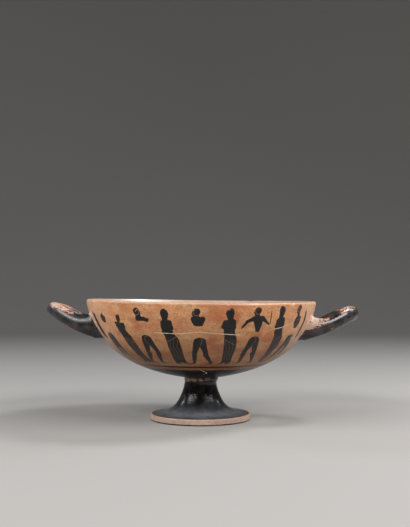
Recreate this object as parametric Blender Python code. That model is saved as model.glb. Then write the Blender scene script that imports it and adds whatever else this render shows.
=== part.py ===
"""A kylix: a shallow footed drinking cup of fired clay with two rising loop handles.

Metres, +Z up. The cup's axis is Z and it stands on z = 0. The handles reach out along X, and the
painted front faces -Y. Bowl, stem, foot and handles are one fired body, so they are one solid.
"""

import math
from collections import namedtuple

import bmesh
import bpy
from mathutils import Matrix, Vector

# Bowl
RIM_DIAMETER = 0.2050
BOWL_DEPTH = 0.0670  # outside, from the top of the lip to the collar under the bowl
LIP_THICKNESS = 0.0032
FLOOR_THICKNESS = 0.0050
LIP_LEAN = math.radians(9.7)  # how far the wall leans in below the lip
FLOOR_RISE = math.radians(8.3)  # slope of the wall where it leaves the stem
LIP_PULL = 0.383  # of the bowl's depth: how far down the wall stays steep
FLOOR_PULL = 0.735  # of the wall's reach: how far out the wall stays shallow

# Stem and foot
STEM_HEIGHT = 0.0373  # from the table to the bowl
COLLAR_DIAMETER = 0.0292
COLLAR_HEIGHT = 0.0037
COLLAR_BULGE = 0.0006
STEM_DIAMETER = 0.0285
STEM_FLARE = math.radians(63.0)  # slope of the stem where it meets the disc
FLARE_DIAMETER = 0.0458  # where the flare's slope meets the disc's slope
FLARE_FILLET = 0.0200
FOOT_DIAMETER = 0.0900
FOOT_EDGE = 0.0052
FOOT_SLOPE = math.radians(8.9)  # fall of the disc's top towards its edge
FOOT_ARRIS = 0.0007  # rounding of the disc's two edges
RING_WIDTH = 0.0076  # flat ring that the cup rests on

# Hollow under the foot
CROWN_THICKNESS = 0.0142  # clay between the top of the hollow and the bowl's floor
HOLLOW_TOP_DIAMETER = 0.0100
HOLLOW_RISE = math.radians(13.0)  # slope of the hollow where it leaves the resting ring
HOLLOW_PULL_OUT = 0.40  # of the hollow's base radius: how far in it stays shallow
HOLLOW_PULL_UP = 0.55  # of the hollow's height: how far down it stays steep

# Handles
HANDLE_STAND_OUT = 0.0367  # from the rim's edge to the tip of the loop, seen from above
LIMB_SPACING = 0.0570  # between the centres of a handle's two limbs at the wall
ROD_DIAMETER = 0.0127
ROOT_WIDTH = 0.0146
ROOT_HEIGHT = 0.0225
ROOT_FLARE = 0.0240  # length over which a limb thins from its root to the rod
LIMB_PULL = 0.60  # of the loop's length: how far out the limbs stay straight
TIP_PULL = 0.60  # of half the limb spacing: how broad the loop's end is
RISE_DELAY = 1.5  # above 1, a limb leaves the wall nearly level and rises further out
# Each handle was bent and set by hand: its side, how far the centre of its root and of its tip lie
# below the lip, and the turn of the loop about X.
Handle = namedtuple("Handle", "side root_drop tip_drop turn")
HANDLES = {
    "handle_left": Handle(-1, 0.0203, 0.0081, math.radians(-2.0)),
    "handle_right": Handle(1, 0.0250, 0.0109, math.radians(-3.5)),
}

# Fineness of the facets
TURN_STEPS = 60
WALL_STEPS = 13
FLOOR_STEPS = 3
LIP_STEPS = 4
CURVE_STEPS = 5
HOLLOW_STEPS = 8
DOME_STEPS = 4
ARRIS_STEPS = 2
LIMB_STEPS = 13
ROD_SIDES = 14
MERGE_DISTANCE = 0.00001

CLAY = (0.52, 0.29, 0.17, 1.0)
BLACK = (0.020, 0.019, 0.018, 1.0)
CLAY_ROUGHNESS = 0.45
BLACK_ROUGHNESS = 0.18

RIM_RADIUS = RIM_DIAMETER / 2
HEIGHT = STEM_HEIGHT + BOWL_DEPTH


def clear_scene():
    for obj in list(bpy.data.objects):
        bpy.data.objects.remove(obj)


def make_material(name, colour, roughness):
    material = bpy.data.materials.new(name)
    material.use_nodes = True
    shader = material.node_tree.nodes["Principled BSDF"]
    shader.inputs["Base Color"].default_value = colour
    shader.inputs["Roughness"].default_value = roughness
    shader.inputs["Metallic"].default_value = 0.0
    return material


def add_object(name, bm, material):
    """A new object from bm, shaded smooth, with its own material."""
    mesh = bpy.data.meshes.new(name)
    bm.to_mesh(mesh)
    bm.free()
    mesh.materials.append(material)
    mesh.shade_smooth()
    obj = bpy.data.objects.new(name, mesh)
    bpy.context.collection.objects.link(obj)
    return obj


def hide_helper(obj):
    obj.hide_render = True
    obj.display_type = "WIRE"


def direction(angle):
    return Vector((math.cos(angle), math.sin(angle)))


def swing(centre, start, angle, steps):
    """Points of an arc that turns start about centre by angle, both ends included."""
    spoke = start - centre
    turns = [Matrix.Rotation(angle * step / steps, 2) for step in range(steps + 1)]
    return [centre + turn @ spoke for turn in turns]


def bezier(points, share):
    """The point and the tangent of a Bezier curve, by repeated mixing of its control points."""
    points = list(points)
    while len(points) > 2:
        points = [a.lerp(b, share) for a, b in zip(points, points[1:])]
    return points[0].lerp(points[1], share), (points[1] - points[0]).normalized()


def curve(points, steps):
    return [bezier(points, step / steps)[0] for step in range(steps + 1)]


def fillet(before, corner, after, radius, steps):
    """An arc of this radius that rounds the corner between two straight lines."""
    arriving = (corner - before).normalized()
    leaving = (after - corner).normalized()
    turn = arriving.angle_signed(leaving)
    setback = radius * math.tan(abs(turn) / 2)
    start = corner - arriving * setback
    side = Vector((arriving.y, -arriving.x)) * math.copysign(1.0, turn)
    return swing(start + side * radius, start, -turn, steps)


def wall_controls():
    """Control points of the bowl's outer wall, from the lip down to the collar, as (radius, height)."""
    half_lip = LIP_THICKNESS / 2
    lip = Vector((RIM_RADIUS, HEIGHT - half_lip * (1 + math.sin(LIP_LEAN))))
    base = Vector((COLLAR_DIAMETER / 2, STEM_HEIGHT))
    down = Vector((-math.sin(LIP_LEAN), -math.cos(LIP_LEAN)))
    reach = RIM_RADIUS - base.x
    return [
        lip,
        lip + down * LIP_PULL * BOWL_DEPTH,
        base + direction(FLOOR_RISE) * FLOOR_PULL * reach,
        base,
    ]


def wall_line(depth_share):
    """Points of the wall at a share of its thickness inside the outer face, lip first."""
    controls = wall_controls()
    line = []
    for step in range(WALL_STEPS + 1):
        share = step / WALL_STEPS
        point, tangent = bezier(controls, share)
        inward = Vector((tangent.y, -tangent.x))
        thickness = LIP_THICKNESS + (FLOOR_THICKNESS - LIP_THICKNESS) * share
        line.append(point + inward * thickness * depth_share)
    return line


def floor_line(edge):
    """The bowl's floor from the axis out to edge, a dish that meets the wall's slope."""
    sink = math.tan(FLOOR_RISE) * edge.x / 2
    shares = [step / FLOOR_STEPS for step in range(FLOOR_STEPS)]
    return [Vector((edge.x * share, edge.y - sink * (1 - share**2))) for share in shares]


def lip_line(inner, outer):
    """A half circle over the lip from the inner face to the outer face, without its ends."""
    return swing((inner + outer) / 2, inner, -math.pi, LIP_STEPS)[1:-1]


def collar_line():
    """The low round moulding between bowl and stem."""
    top = Vector((COLLAR_DIAMETER / 2, STEM_HEIGHT))
    bottom = Vector((STEM_DIAMETER / 2, STEM_HEIGHT - COLLAR_HEIGHT))
    line = []
    for step in range(1, CURVE_STEPS):
        share = step / CURVE_STEPS
        bulge = Vector((COLLAR_BULGE * math.sin(math.pi * share), 0.0))
        line.append(top.lerp(bottom, share) + bulge)
    return line


def foot_line():
    """The stem's flare, the disc's top, its edge and the ring that it rests on."""
    stem_top = Vector((STEM_DIAMETER / 2, STEM_HEIGHT - COLLAR_HEIGHT))
    foot_radius = FOOT_DIAMETER / 2
    flare_radius = FLARE_DIAMETER / 2
    corner = Vector((flare_radius, FOOT_EDGE + (foot_radius - flare_radius) * math.tan(FOOT_SLOPE)))
    top_edge = Vector((foot_radius, FOOT_EDGE))
    bottom_edge = Vector((foot_radius, 0.0))
    ring_inner = Vector((foot_radius - RING_WIDTH, 0.0))
    # The flare's tangent runs back up to the stem's side, where the stem's curve has its control.
    rise = (flare_radius - stem_top.x) * math.tan(STEM_FLARE)
    bend = Vector((stem_top.x, corner.y + rise))
    spread = fillet(bend, corner, top_edge, FLARE_FILLET, CURVE_STEPS)
    line = curve([stem_top, bend, spread[0]], CURVE_STEPS)[:-1] + spread
    line += fillet(corner, top_edge, bottom_edge, FOOT_ARRIS, ARRIS_STEPS)
    line += fillet(top_edge, bottom_edge, ring_inner, FOOT_ARRIS, ARRIS_STEPS)
    return line


def hollow_line(floor_height):
    """The trumpet-shaped hollow under the foot, from the resting ring up to the axis."""
    height = floor_height - CROWN_THICKNESS
    base = Vector((FOOT_DIAMETER / 2 - RING_WIDTH, 0.0))
    top_radius = HOLLOW_TOP_DIAMETER / 2
    dome_centre = Vector((0.0, height - top_radius))
    shoulder = dome_centre + Vector((top_radius, 0.0))
    shallow = base + direction(math.pi - HOLLOW_RISE) * HOLLOW_PULL_OUT * base.x
    steep = shoulder - Vector((0.0, HOLLOW_PULL_UP * height))
    dome = swing(dome_centre, shoulder, math.pi / 2, DOME_STEPS)[1:-1]
    return curve([base, shallow, steep, shoulder], HOLLOW_STEPS) + dome + [Vector((0.0, height))]


def turn_profile(name, profile, material):
    """A solid turned about Z from a profile that runs down its outer side."""
    bm = bmesh.new()
    points = [bm.verts.new((point.x, 0.0, point.y)) for point in profile]
    for start, end in zip(points, points[1:]):
        bm.edges.new((start, end))
    obj = add_object(name, bm, material)
    screw = obj.modifiers.new("turned", "SCREW")
    screw.steps = TURN_STEPS
    screw.render_steps = TURN_STEPS
    screw.use_merge_vertices = True
    screw.merge_threshold = MERGE_DISTANCE
    screw.use_smooth_shade = True
    return obj


def make_cup(material):
    outer = wall_line(0.0)
    inner = wall_line(1.0)
    floor = floor_line(inner[-1])
    profile = floor + inner[::-1] + lip_line(inner[0], outer[0]) + outer
    profile += collar_line() + foot_line() + hollow_line(floor[0].y)
    return turn_profile("kylix_cup", profile, material)


def make_root_trim(material):
    """The space inside the middle of the wall, where the handles' roots are cut off."""
    middle = wall_line(0.5)
    above = HEIGHT + ROOT_HEIGHT
    top = [Vector((0.0, above)), Vector((middle[0].x, above))]
    trim = turn_profile("root_trim", top + middle + [Vector((0.0, middle[-1].y))], material)
    hide_helper(trim)
    return trim


def wall_radius_at(height):
    """The outer wall's radius at a height, between the two points of the wall beside it."""
    line = wall_line(0.0)
    for upper, lower in zip(line, line[1:]):
        if lower.y <= height <= upper.y:
            share = (height - lower.y) / (upper.y - lower.y)
            return lower.lerp(upper, share).x
    return line[0].x


def handle_plan(spring, tip):
    """The loop's centre line seen from above, from its near limb to its far limb.

    Each limb starts inside the wall, as far in as the root is high, because the wall leans in.
    """
    half_spacing = LIMB_SPACING / 2
    controls = [
        Vector((spring, -half_spacing)),
        Vector((spring + (tip - spring) * LIMB_PULL, -half_spacing)),
        Vector((tip, -half_spacing * TIP_PULL)),
        Vector((tip, 0.0)),
    ]
    near = [Vector((spring - ROOT_HEIGHT, -half_spacing))] + curve(controls, LIMB_STEPS)
    return near + [Vector((point.x, -point.y)) for point in near[-2::-1]]


def handle_sections(shape):
    """Centres and half sizes of the loop's sections."""
    root_height = HEIGHT - shape.root_drop
    rise = shape.root_drop - shape.tip_drop
    spring = math.sqrt(wall_radius_at(root_height) ** 2 - (LIMB_SPACING / 2) ** 2)
    tip = RIM_RADIUS + HANDLE_STAND_OUT - ROD_DIAMETER / 2
    sections = []
    for plan in handle_plan(spring, tip):
        out = max(plan.x - spring, 0.0)
        share = (out / (tip - spring)) ** RISE_DELAY
        height = root_height + rise * share**2 * (3 - 2 * share)
        flare = max(1.0 - out / ROOT_FLARE, 0.0) ** 2
        half_width = (ROD_DIAMETER + (ROOT_WIDTH - ROD_DIAMETER) * flare) / 2
        half_height = (ROD_DIAMETER + (ROOT_HEIGHT - ROD_DIAMETER) * flare) / 2
        aside = plan.y * direction(shape.turn)
        centre = Vector((shape.side * plan.x, aside.x, height + aside.y))
        sections.append((centre, half_width, half_height))
    return sections


def extrude_ring(bm, ring):
    """The ring extruded by one step: the new vertices, each in the place of the one it came from."""
    edges = [edge for edge in bm.edges if edge.verts[0] in ring and edge.verts[1] in ring]
    grown = bmesh.ops.extrude_edge_only(bm, edges=edges)["geom"]
    fresh = {item for item in grown if isinstance(item, bmesh.types.BMVert)}
    ends = [[edge.other_vert(vert) for edge in vert.link_edges] for vert in ring]
    return [next(end for end in group if end in fresh) for group in ends]


def make_handle(name, shape, trim, material):
    """A rod carried along the loop by extruding one ring from section to section."""
    sections = handle_sections(shape)
    centres = [centre for centre, _, _ in sections]
    bm = bmesh.new()
    ring = bmesh.ops.create_circle(bm, cap_ends=False, segments=ROD_SIDES, radius=1.0)["verts"]
    circle = [Vector((vert.co.x, vert.co.y)) for vert in ring]
    ends = [ring]
    for index, (centre, half_width, half_height) in enumerate(sections):
        if index:
            ring = extrude_ring(bm, ring)
        before = centres[max(index - 1, 0)]
        after = centres[min(index + 1, len(centres) - 1)]
        along = (after - before).normalized()
        across = along.cross(Vector((0.0, 0.0, 1.0))).normalized()
        upward = across.cross(along)
        for vert, spot in zip(ring, circle):
            vert.co = centre + across * spot.x * half_width + upward * spot.y * half_height
    for end in ends + [ring]:
        bmesh.ops.contextual_create(bm, geom=end)
    bmesh.ops.recalc_face_normals(bm, faces=bm.faces)
    handle = add_object(name, bm, material)
    add_boolean(handle, "root cut inside the wall", "DIFFERENCE", trim)
    hide_helper(handle)
    return handle


def add_boolean(obj, name, operation, other):
    boolean = obj.modifiers.new(name, "BOOLEAN")
    boolean.operation = operation
    boolean.solver = "EXACT"
    boolean.object = other


def main():
    clear_scene()
    clay = make_material("fired_clay", CLAY, CLAY_ROUGHNESS)
    black = make_material("black_gloss_slip", BLACK, BLACK_ROUGHNESS)
    cup = make_cup(clay)
    trim = make_root_trim(clay)
    for name, shape in HANDLES.items():
        handle = make_handle(name, shape, trim, black)
        add_boolean(cup, name + " luted on", "UNION", handle)


main()
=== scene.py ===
"""The looks of a black-figure kylix: a shallow drinking cup of red-burning clay with black gloss slip.

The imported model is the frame. The bowl, the foot and the two handles are built over it as dense surfaces,
in millimetres, with the same profiles as the frame. +Z is up, the painted front faces -Y, and an azimuth is
counted in degrees from the front towards +X.
"""

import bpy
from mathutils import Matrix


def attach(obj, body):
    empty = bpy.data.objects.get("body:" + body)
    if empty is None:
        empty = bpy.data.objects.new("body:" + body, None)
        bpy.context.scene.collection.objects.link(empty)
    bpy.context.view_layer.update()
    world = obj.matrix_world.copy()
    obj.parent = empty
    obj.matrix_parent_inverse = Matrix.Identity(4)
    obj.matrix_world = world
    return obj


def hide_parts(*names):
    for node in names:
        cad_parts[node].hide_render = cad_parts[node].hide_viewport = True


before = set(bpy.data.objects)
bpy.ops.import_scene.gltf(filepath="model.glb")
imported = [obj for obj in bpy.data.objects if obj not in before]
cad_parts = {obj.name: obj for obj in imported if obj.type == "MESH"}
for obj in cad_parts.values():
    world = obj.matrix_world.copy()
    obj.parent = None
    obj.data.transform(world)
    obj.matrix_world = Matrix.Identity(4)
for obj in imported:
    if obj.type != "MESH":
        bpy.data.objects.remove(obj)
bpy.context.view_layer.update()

import logging
import math
from dataclasses import dataclass, field, replace
from enum import Enum

import bpy
import numpy as np

Point = tuple[float, float]
Array = np.ndarray
Socket = bpy.types.NodeSocket

MM = 0.001
FAR = 40.0  # a signed distance, in mm, that no paint reaches
LINE = 0.45  # half width, in mm, to which every thin stroke and crack is scaled
BODY = "root"
NODE = "kylix_cup"


def linear(colour: str) -> tuple[float, float, float, float]:
    """Turn an sRGB hex colour into linear light.

    Args:
        colour: six hex digits after a hash sign.

    Returns:
        Red, green, blue and an alpha of one.
    """
    shares = [int(colour[i:i + 2], 16) / 255 for i in (1, 3, 5)]
    light = [s / 12.92 if s <= 0.04045 else ((s + 0.055) / 1.055) ** 2.4 for s in shares]
    return (*light, 1.0)


def smooth(share: Array) -> Array:
    """Ease a share from 0 to 1: three times its square less twice its cube."""
    share = np.clip(share, 0.0, 1.0)
    return share * share * (3 - 2 * share)


def turn_from(azimuth: Array, middle: float) -> Array:
    """Degrees from a middle azimuth the short way round, from -180 to 180."""
    return (azimuth - middle + 180.0) % 360.0 - 180.0


@dataclass(frozen=True)
class Mottle:
    """Where a tint lies: in the high parts of a noise of real size."""

    size: float  # mm across
    detail: float
    roughness: float
    low: float  # noise below this gets none of the tint
    high: float  # and above this gets the whole share
    share: float


class Nodes:
    """The nodes of one material, fed by Object coordinates and by the fields painted on the points."""

    def __init__(self, name: str) -> None:
        """Start an empty material.

        Args:
            name: what the finish is and how it was made.
        """
        self.material = bpy.data.materials.new(name)
        self.material.use_nodes = True
        self.tree = self.material.node_tree
        self.tree.nodes.clear()
        self.place = self.put("ShaderNodeTexCoord", out="Object")

    def put(self, kind: str, inputs: dict | None = None, out: int | str = 0, **settings: object) -> Socket:
        """Add one node, with its settings, values and links.

        Args:
            kind: the node's type.
            inputs: for each input, by number or name, a value or the socket that feeds it.
            out: number or name of the output that is wanted.
            settings: the node's own properties.

        Returns:
            That output, or None if the node has none.
        """
        made = self.tree.nodes.new(kind)
        for name, value in settings.items():
            setattr(made, name, value)
        for key, value in (inputs or {}).items():
            if isinstance(value, Socket):
                self.tree.links.new(value, made.inputs[key])
            else:
                made.inputs[key].default_value = value
        return made.outputs[out] if made.outputs else None

    def stretched(self, times: tuple[float, float, float]) -> Socket:
        """Object coordinates on which a noise is this many times denser along x, y and z."""
        return self.put("ShaderNodeVectorMath", {0: self.place, 1: times}, operation="MULTIPLY")

    def noise(self, size: float, detail: float, roughness: float = 0.5, place: Socket | None = None,
              distortion: float = 0.0) -> Socket:
        """Noise in real size, about 0.5.

        Args:
            size: how many mm its features are across.
            detail: how many finer layers it has.
            roughness: the strength of each layer beside the one before.
            place: coordinates in metres, if not the plain Object coordinates.
            distortion: how far it is stirred.

        Returns:
            The noise.
        """
        return self.put("ShaderNodeTexNoise", {
            "Vector": self.place if place is None else place, "Scale": 1.0 / (size * MM), "Detail": detail,
            "Roughness": roughness, "Distortion": distortion,
        })

    def painted(self, key: str) -> Socket:
        """A field stored on the piece's points."""
        return self.put("ShaderNodeAttribute", out="Fac", attribute_name=key)

    def maths(self, operation: str, *values: Socket | float, **settings: object) -> Socket:
        """One step of arithmetic."""
        return self.put("ShaderNodeMath", dict(enumerate(values)), operation=operation, **settings)

    def span(self, source: Socket, low: float, high: float, first: float, last: float) -> Socket:
        """Turn a value that goes from low to high into one that goes from first to last, and no further."""
        return self.put("ShaderNodeMapRange", {0: source, 1: low, 2: high, 3: first, 4: last})

    def mottle(self, layer: Mottle, place: Socket | None = None) -> Socket:
        """Share of a tint that a mottle lays."""
        cloud = self.noise(layer.size, layer.detail, layer.roughness, place)
        return self.span(cloud, layer.low, layer.high, 0.0, layer.share)

    def mix(self, share: Socket | float, below: Socket | float, above: Socket | float) -> Socket:
        """A number between two others."""
        return self.put("ShaderNodeMix", {0: share, 2: below, 3: above})

    def blend(self, share: Socket, below: Socket | str, above: Socket | str) -> Socket:
        """A colour between two others, each a socket or a hex colour."""
        ends = [linear(end) if isinstance(end, str) else end for end in (below, above)]
        return self.put("ShaderNodeMix", {0: share, 6: ends[0], 7: ends[1]}, 2, data_type="RGBA")

    def lightened(self, colour: Socket, times: Socket) -> Socket:
        """A colour made this many times as light."""
        return self.put("ShaderNodeVectorMath", {0: colour, "Scale": times}, operation="SCALE")


def stroke_distance(x: Array, y: Array, ends: tuple[Point, Point], radii: Point) -> Array:
    """Signed distance to a brush stroke: how far a point is from a straight line, less a half width that
    changes evenly from one end to the other.

    Args:
        x: mm to the right.
        y: mm up.
        ends: the stroke's two ends.
        radii: half widths at the ends.

    Returns:
        Distances in mm, below zero inside.
    """
    (ax, ay), (bx, by) = ends
    run = (bx - ax) ** 2 + (by - ay) ** 2
    share = np.clip(((x - ax) * (bx - ax) + (y - ay) * (by - ay)) / max(run, 1e-9), 0, 1)
    reach = np.hypot(x - ax - share * (bx - ax), y - ay - share * (by - ay))
    return reach - (radii[0] + (radii[1] - radii[0]) * share)


def oval_distance(x: Array, y: Array, centre: Point, halves: Point) -> Array:
    """Signed distance to an upright oval: the scaled radius times itself less one, over its slope.

    Args:
        x: mm to the right.
        y: mm up.
        centre: the oval's centre.
        halves: its half width and half height.

    Returns:
        Distances in mm, below zero inside, and true close to the edge.
    """
    across, up = (x - centre[0]) / halves[0], (y - centre[1]) / halves[1]
    near = np.hypot(across, up)
    slope = np.hypot(across / halves[0], up / halves[1])
    return near * (near - 1) / np.maximum(slope, 1e-6)


def panel_distance(x: Array, y: Array, corners: list[Point], rounding: float) -> Array:
    """Signed distance to a closed outline: the nearest of its straight edges, negative where a level line
    from the point crosses the outline an odd number of times, less the rounding of its corners.

    Args:
        x: mm to the right.
        y: mm up.
        corners: the outline's corners in order.
        rounding: radius added all round.

    Returns:
        Distances in mm, below zero inside.
    """
    best = np.full(np.shape(x), np.inf)
    inside = np.zeros(np.shape(x), bool)
    for (ax, ay), (bx, by) in zip(corners, corners[1:] + corners[:1]):
        run = (bx - ax) ** 2 + (by - ay) ** 2
        share = np.clip(((x - ax) * (bx - ax) + (y - ay) * (by - ay)) / run, 0, 1)
        best = np.minimum(best, np.hypot(x - ax - share * (bx - ax), y - ay - share * (by - ay)))
        if ay != by:
            crosses = (ay > y) != (by > y)
            inside ^= crosses & (x < (bx - ax) * (y - ay) / (by - ay) + ax)
    return np.where(inside, -best, best) - rounding


def soft_union(first: Array, second: Array, width: float) -> Array:
    """The nearer of two distances, with the inner corner between the shapes filled by a small curve.

    Args:
        first: one shape's signed distances.
        second: the other's.
        width: how wide the filling curve is, in mm.

    Returns:
        The signed distances of both together.
    """
    mix = np.clip(0.5 + 0.5 * (second - first) / width, 0, 1)
    return second * (1 - mix) + first * mix - width * mix * (1 - mix)


def bezier(controls: Array, share: Array) -> tuple[Array, Array]:
    """Points of a Bezier curve by repeated mixing of its control points, with its unit tangents.

    Args:
        controls: control points, one row each.
        share: places along the curve, from 0 to 1.

    Returns:
        Points and tangents, one row for each share.
    """
    share = np.asarray(share, float)[:, None, None]
    rows = np.repeat(np.asarray(controls, float)[None], len(share), axis=0)
    while rows.shape[1] > 2:
        rows = rows[:, :-1] * (1 - share) + rows[:, 1:] * share
    run = rows[:, 1] - rows[:, 0]
    share = share[:, 0]
    return rows[:, 0] * (1 - share) + rows[:, 1] * share, run / np.linalg.norm(run, axis=1, keepdims=True)


def swing(centre: Array, start: Array, angle: float, steps: int) -> Array:
    """Points of an arc: start turned about centre by even parts of the angle.

    Args:
        centre: the arc's centre.
        start: its first point.
        angle: how far it goes round, in radians, with its sign.
        steps: parts of the arc.

    Returns:
        The points, both ends included.
    """
    turn = angle * np.linspace(0, 1, steps + 1)
    spoke = np.asarray(start) - centre
    return centre + np.stack([
        spoke[0] * np.cos(turn) - spoke[1] * np.sin(turn),
        spoke[0] * np.sin(turn) + spoke[1] * np.cos(turn),
    ], axis=1)


def fillet(before: Array, corner: Array, after: Array, radius: float, steps: int) -> Array:
    """An arc that rounds the corner between two straight lines and touches both.

    Args:
        before: a point on the arriving line.
        corner: where the lines meet.
        after: a point on the leaving line.
        radius: the arc's radius.
        steps: parts of the arc.

    Returns:
        The arc's points, as (radius, height).
    """
    arriving = (corner - before) / np.linalg.norm(corner - before)
    leaving = (after - corner) / np.linalg.norm(after - corner)
    turn = math.atan2(arriving[0] * leaving[1] - arriving[1] * leaving[0], float(arriving @ leaving))
    start = corner - arriving * radius * math.tan(abs(turn) / 2)
    side = np.array([-arriving[1], arriving[0]]) * math.copysign(1.0, turn)
    return swing(start + side * radius, start, turn, steps)


def arc_length(line: Array) -> Array:
    """Distance along a line of points, from its first point."""
    return np.concatenate([[0.0], np.cumsum(np.linalg.norm(np.diff(line, axis=0), axis=1))])


class Shell:
    """A closed surface laid over rings of points, from one pole to the other.

    Neighbouring rings have the same number of points, or one has a whole number of times the other's.
    """

    def __init__(self, rings: list[Array], spread: Array) -> None:
        """Lay faces between the rings.

        Args:
            rings: the points of each ring in mm; a pole is a ring of one point.
            spread: each ring's place up the texture, from 0 to 1.
        """
        self.points = np.concatenate(rings)
        self.counts = np.array([len(ring) for ring in rings])
        self.starts = np.concatenate([[0], np.cumsum(self.counts)[:-1]])
        self.faces: list[Array] = []
        self.corners: list[Array] = []
        self.fields: dict[str, Array] = {}
        for index in range(len(rings) - 1):
            self._band(index, spread[index], spread[index + 1])
        self._turn_outwards()

    def _band(self, index: int, low: float, high: float) -> None:
        """Join one ring to the next with squares, or with fans where the next is finer or coarser.

        Args:
            index: the first ring's number.
            low: its place up the texture.
            high: the next ring's place up the texture.
        """
        n, m = int(self.counts[index]), int(self.counts[index + 1])
        few, many = min(n, m), max(n, m)
        coarse, fine = (0, 1) if n < m else (1, 0)
        step = np.arange(few)
        if n == m:
            self._add([(0, step), (0, step + 1), (1, step + 1), (1, step)], index, (low, high))
            return
        times = many // few
        fans = [[(fine, np.arange(many)), (fine, np.arange(many) + 1), (coarse, np.arange(many) + 0.5)]]
        if few > 1:
            half = times // 2
            fans = [[(fine, times * step + part), (fine, times * step + part + 1),
                     (coarse, step + (part >= half))] for part in range(times)]
            fans.append([(coarse, step + 1), (coarse, step), (fine, times * step + half)])
        for fan in fans:
            self._add(fan[::-1] if fine else fan, index, (low, high))

    def _add(self, columns: list, index: int, heights: Point) -> None:
        """Add the faces whose corners are these places on the ring and on the next one.

        Args:
            columns: for each corner, which of the two rings it is on, and its place round it.
            index: the first ring's number.
            heights: the two rings' places up the texture.
        """
        faces, places = [], []
        wide = max(self.counts[index], self.counts[index + 1])
        for ring, step in columns:
            count = int(self.counts[index + ring])
            whole = step.astype(int) % count if count > 1 else np.zeros(len(step), int)
            faces.append(self.starts[index + ring] + whole)
            share = step / (count if count > 1 else wide)
            places.append(np.stack([share, np.full(len(step), heights[ring])], axis=1))
        self.faces.append(np.stack(faces, axis=1))
        self.corners.append(np.stack(places, axis=1))

    def _turn_outwards(self) -> None:
        """Turn every face over if the shell's signed volume is below zero."""
        volume = 0.0
        for face in self.faces:
            for k in range(1, face.shape[1] - 1):
                a, b, c = self.points[face[:, 0]], self.points[face[:, k]], self.points[face[:, k + 1]]
                volume += float(np.einsum("ij,ij->", a, np.cross(b, c)))
        if volume < 0:
            self.faces = [face[:, ::-1] for face in self.faces]
            self.corners = [place[:, ::-1] for place in self.corners]

    def make(self, name: str, material: bpy.types.Material) -> bpy.types.Object:
        """Put the shell into a mesh and hang it on the frame.

        Args:
            name: the piece's name.
            material: its finish.

        Returns:
            The piece.
        """
        mesh = bpy.data.meshes.new(name)
        mesh.vertices.add(len(self.points))
        mesh.vertices.foreach_set("co", (self.points * MM).astype(np.float32).ravel())
        corners = np.concatenate([face.ravel() for face in self.faces]).astype(np.int32)
        sizes = np.concatenate([np.full(len(face), face.shape[1]) for face in self.faces])
        mesh.loops.add(len(corners))
        mesh.loops.foreach_set("vertex_index", corners)
        mesh.polygons.add(len(sizes))
        starts = np.concatenate([[0], np.cumsum(sizes)[:-1]]).astype(np.int32)
        mesh.polygons.foreach_set("loop_start", starts)
        mesh.update(calc_edges=True)
        mesh.shade_smooth()
        places = np.concatenate([place.reshape(-1, 2) for place in self.corners])
        mesh.uv_layers.new(name="OFBake").data.foreach_set("uv", places.astype(np.float32).ravel())
        for key, values in self.fields.items():
            layer = mesh.attributes.new(key, "FLOAT", "POINT")
            layer.data.foreach_set("value", values.astype(np.float32))
        mesh.materials.append(material)
        piece = bpy.data.objects.new(name, mesh)
        bpy.context.scene.collection.objects.link(piece)
        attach(piece, BODY)
        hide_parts(NODE)
        return piece


@dataclass(frozen=True)
class Handwork:
    """What the potter's hands and the kiln did to the true shape, in mm."""

    rim_tilt: float = 0.012  # the left side of the rim stands higher than the right
    rim_pitch: float = -0.003  # and the front higher than the back
    saddle: float = 0.6  # and both sides, pulled up with the handles, twice this over the front and back
    oval: float = 0.85  # per cent that the rim is wider from front to back, and narrower from side to side
    waver: float = 0.10
    foot_shift: float = -0.8
    joint: float = 7.0  # over this height under the bowl
    bowl_base: float = 37.3
    bowl_depth: float = 67.0

    def settle(self, points: Array) -> Array:
        """Move true points to where they are on this cup.

        The bowl's height changes with x and y, its radius and height waver with cosines of whole times the
        azimuth, and the foot slides aside.

        Args:
            points: places in mm.

        Returns:
            The moved places.
        """
        x, y, z = points.T
        lift = np.clip((z - self.bowl_base) / self.bowl_depth, 0, 1)
        below = smooth((self.bowl_base - z) / self.joint)
        azimuth = np.arctan2(x, -y)
        swell = self.oval * np.cos(2 * azimuth) + self.waver * np.cos(5 * azimuth + 0.7)
        scale = 1 + lift * swell / 100
        rise = self.waver * np.cos(3 * azimuth + 1.1) + 0.6 * self.waver * np.cos(7 * azimuth)
        rise = rise + self.saddle * (1 - np.cos(2 * azimuth))
        return np.stack([
            x * scale + self.foot_shift * below,
            y * scale,
            z + lift * (rise - self.rim_tilt * x + self.rim_pitch * y),
        ], axis=1)


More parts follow.
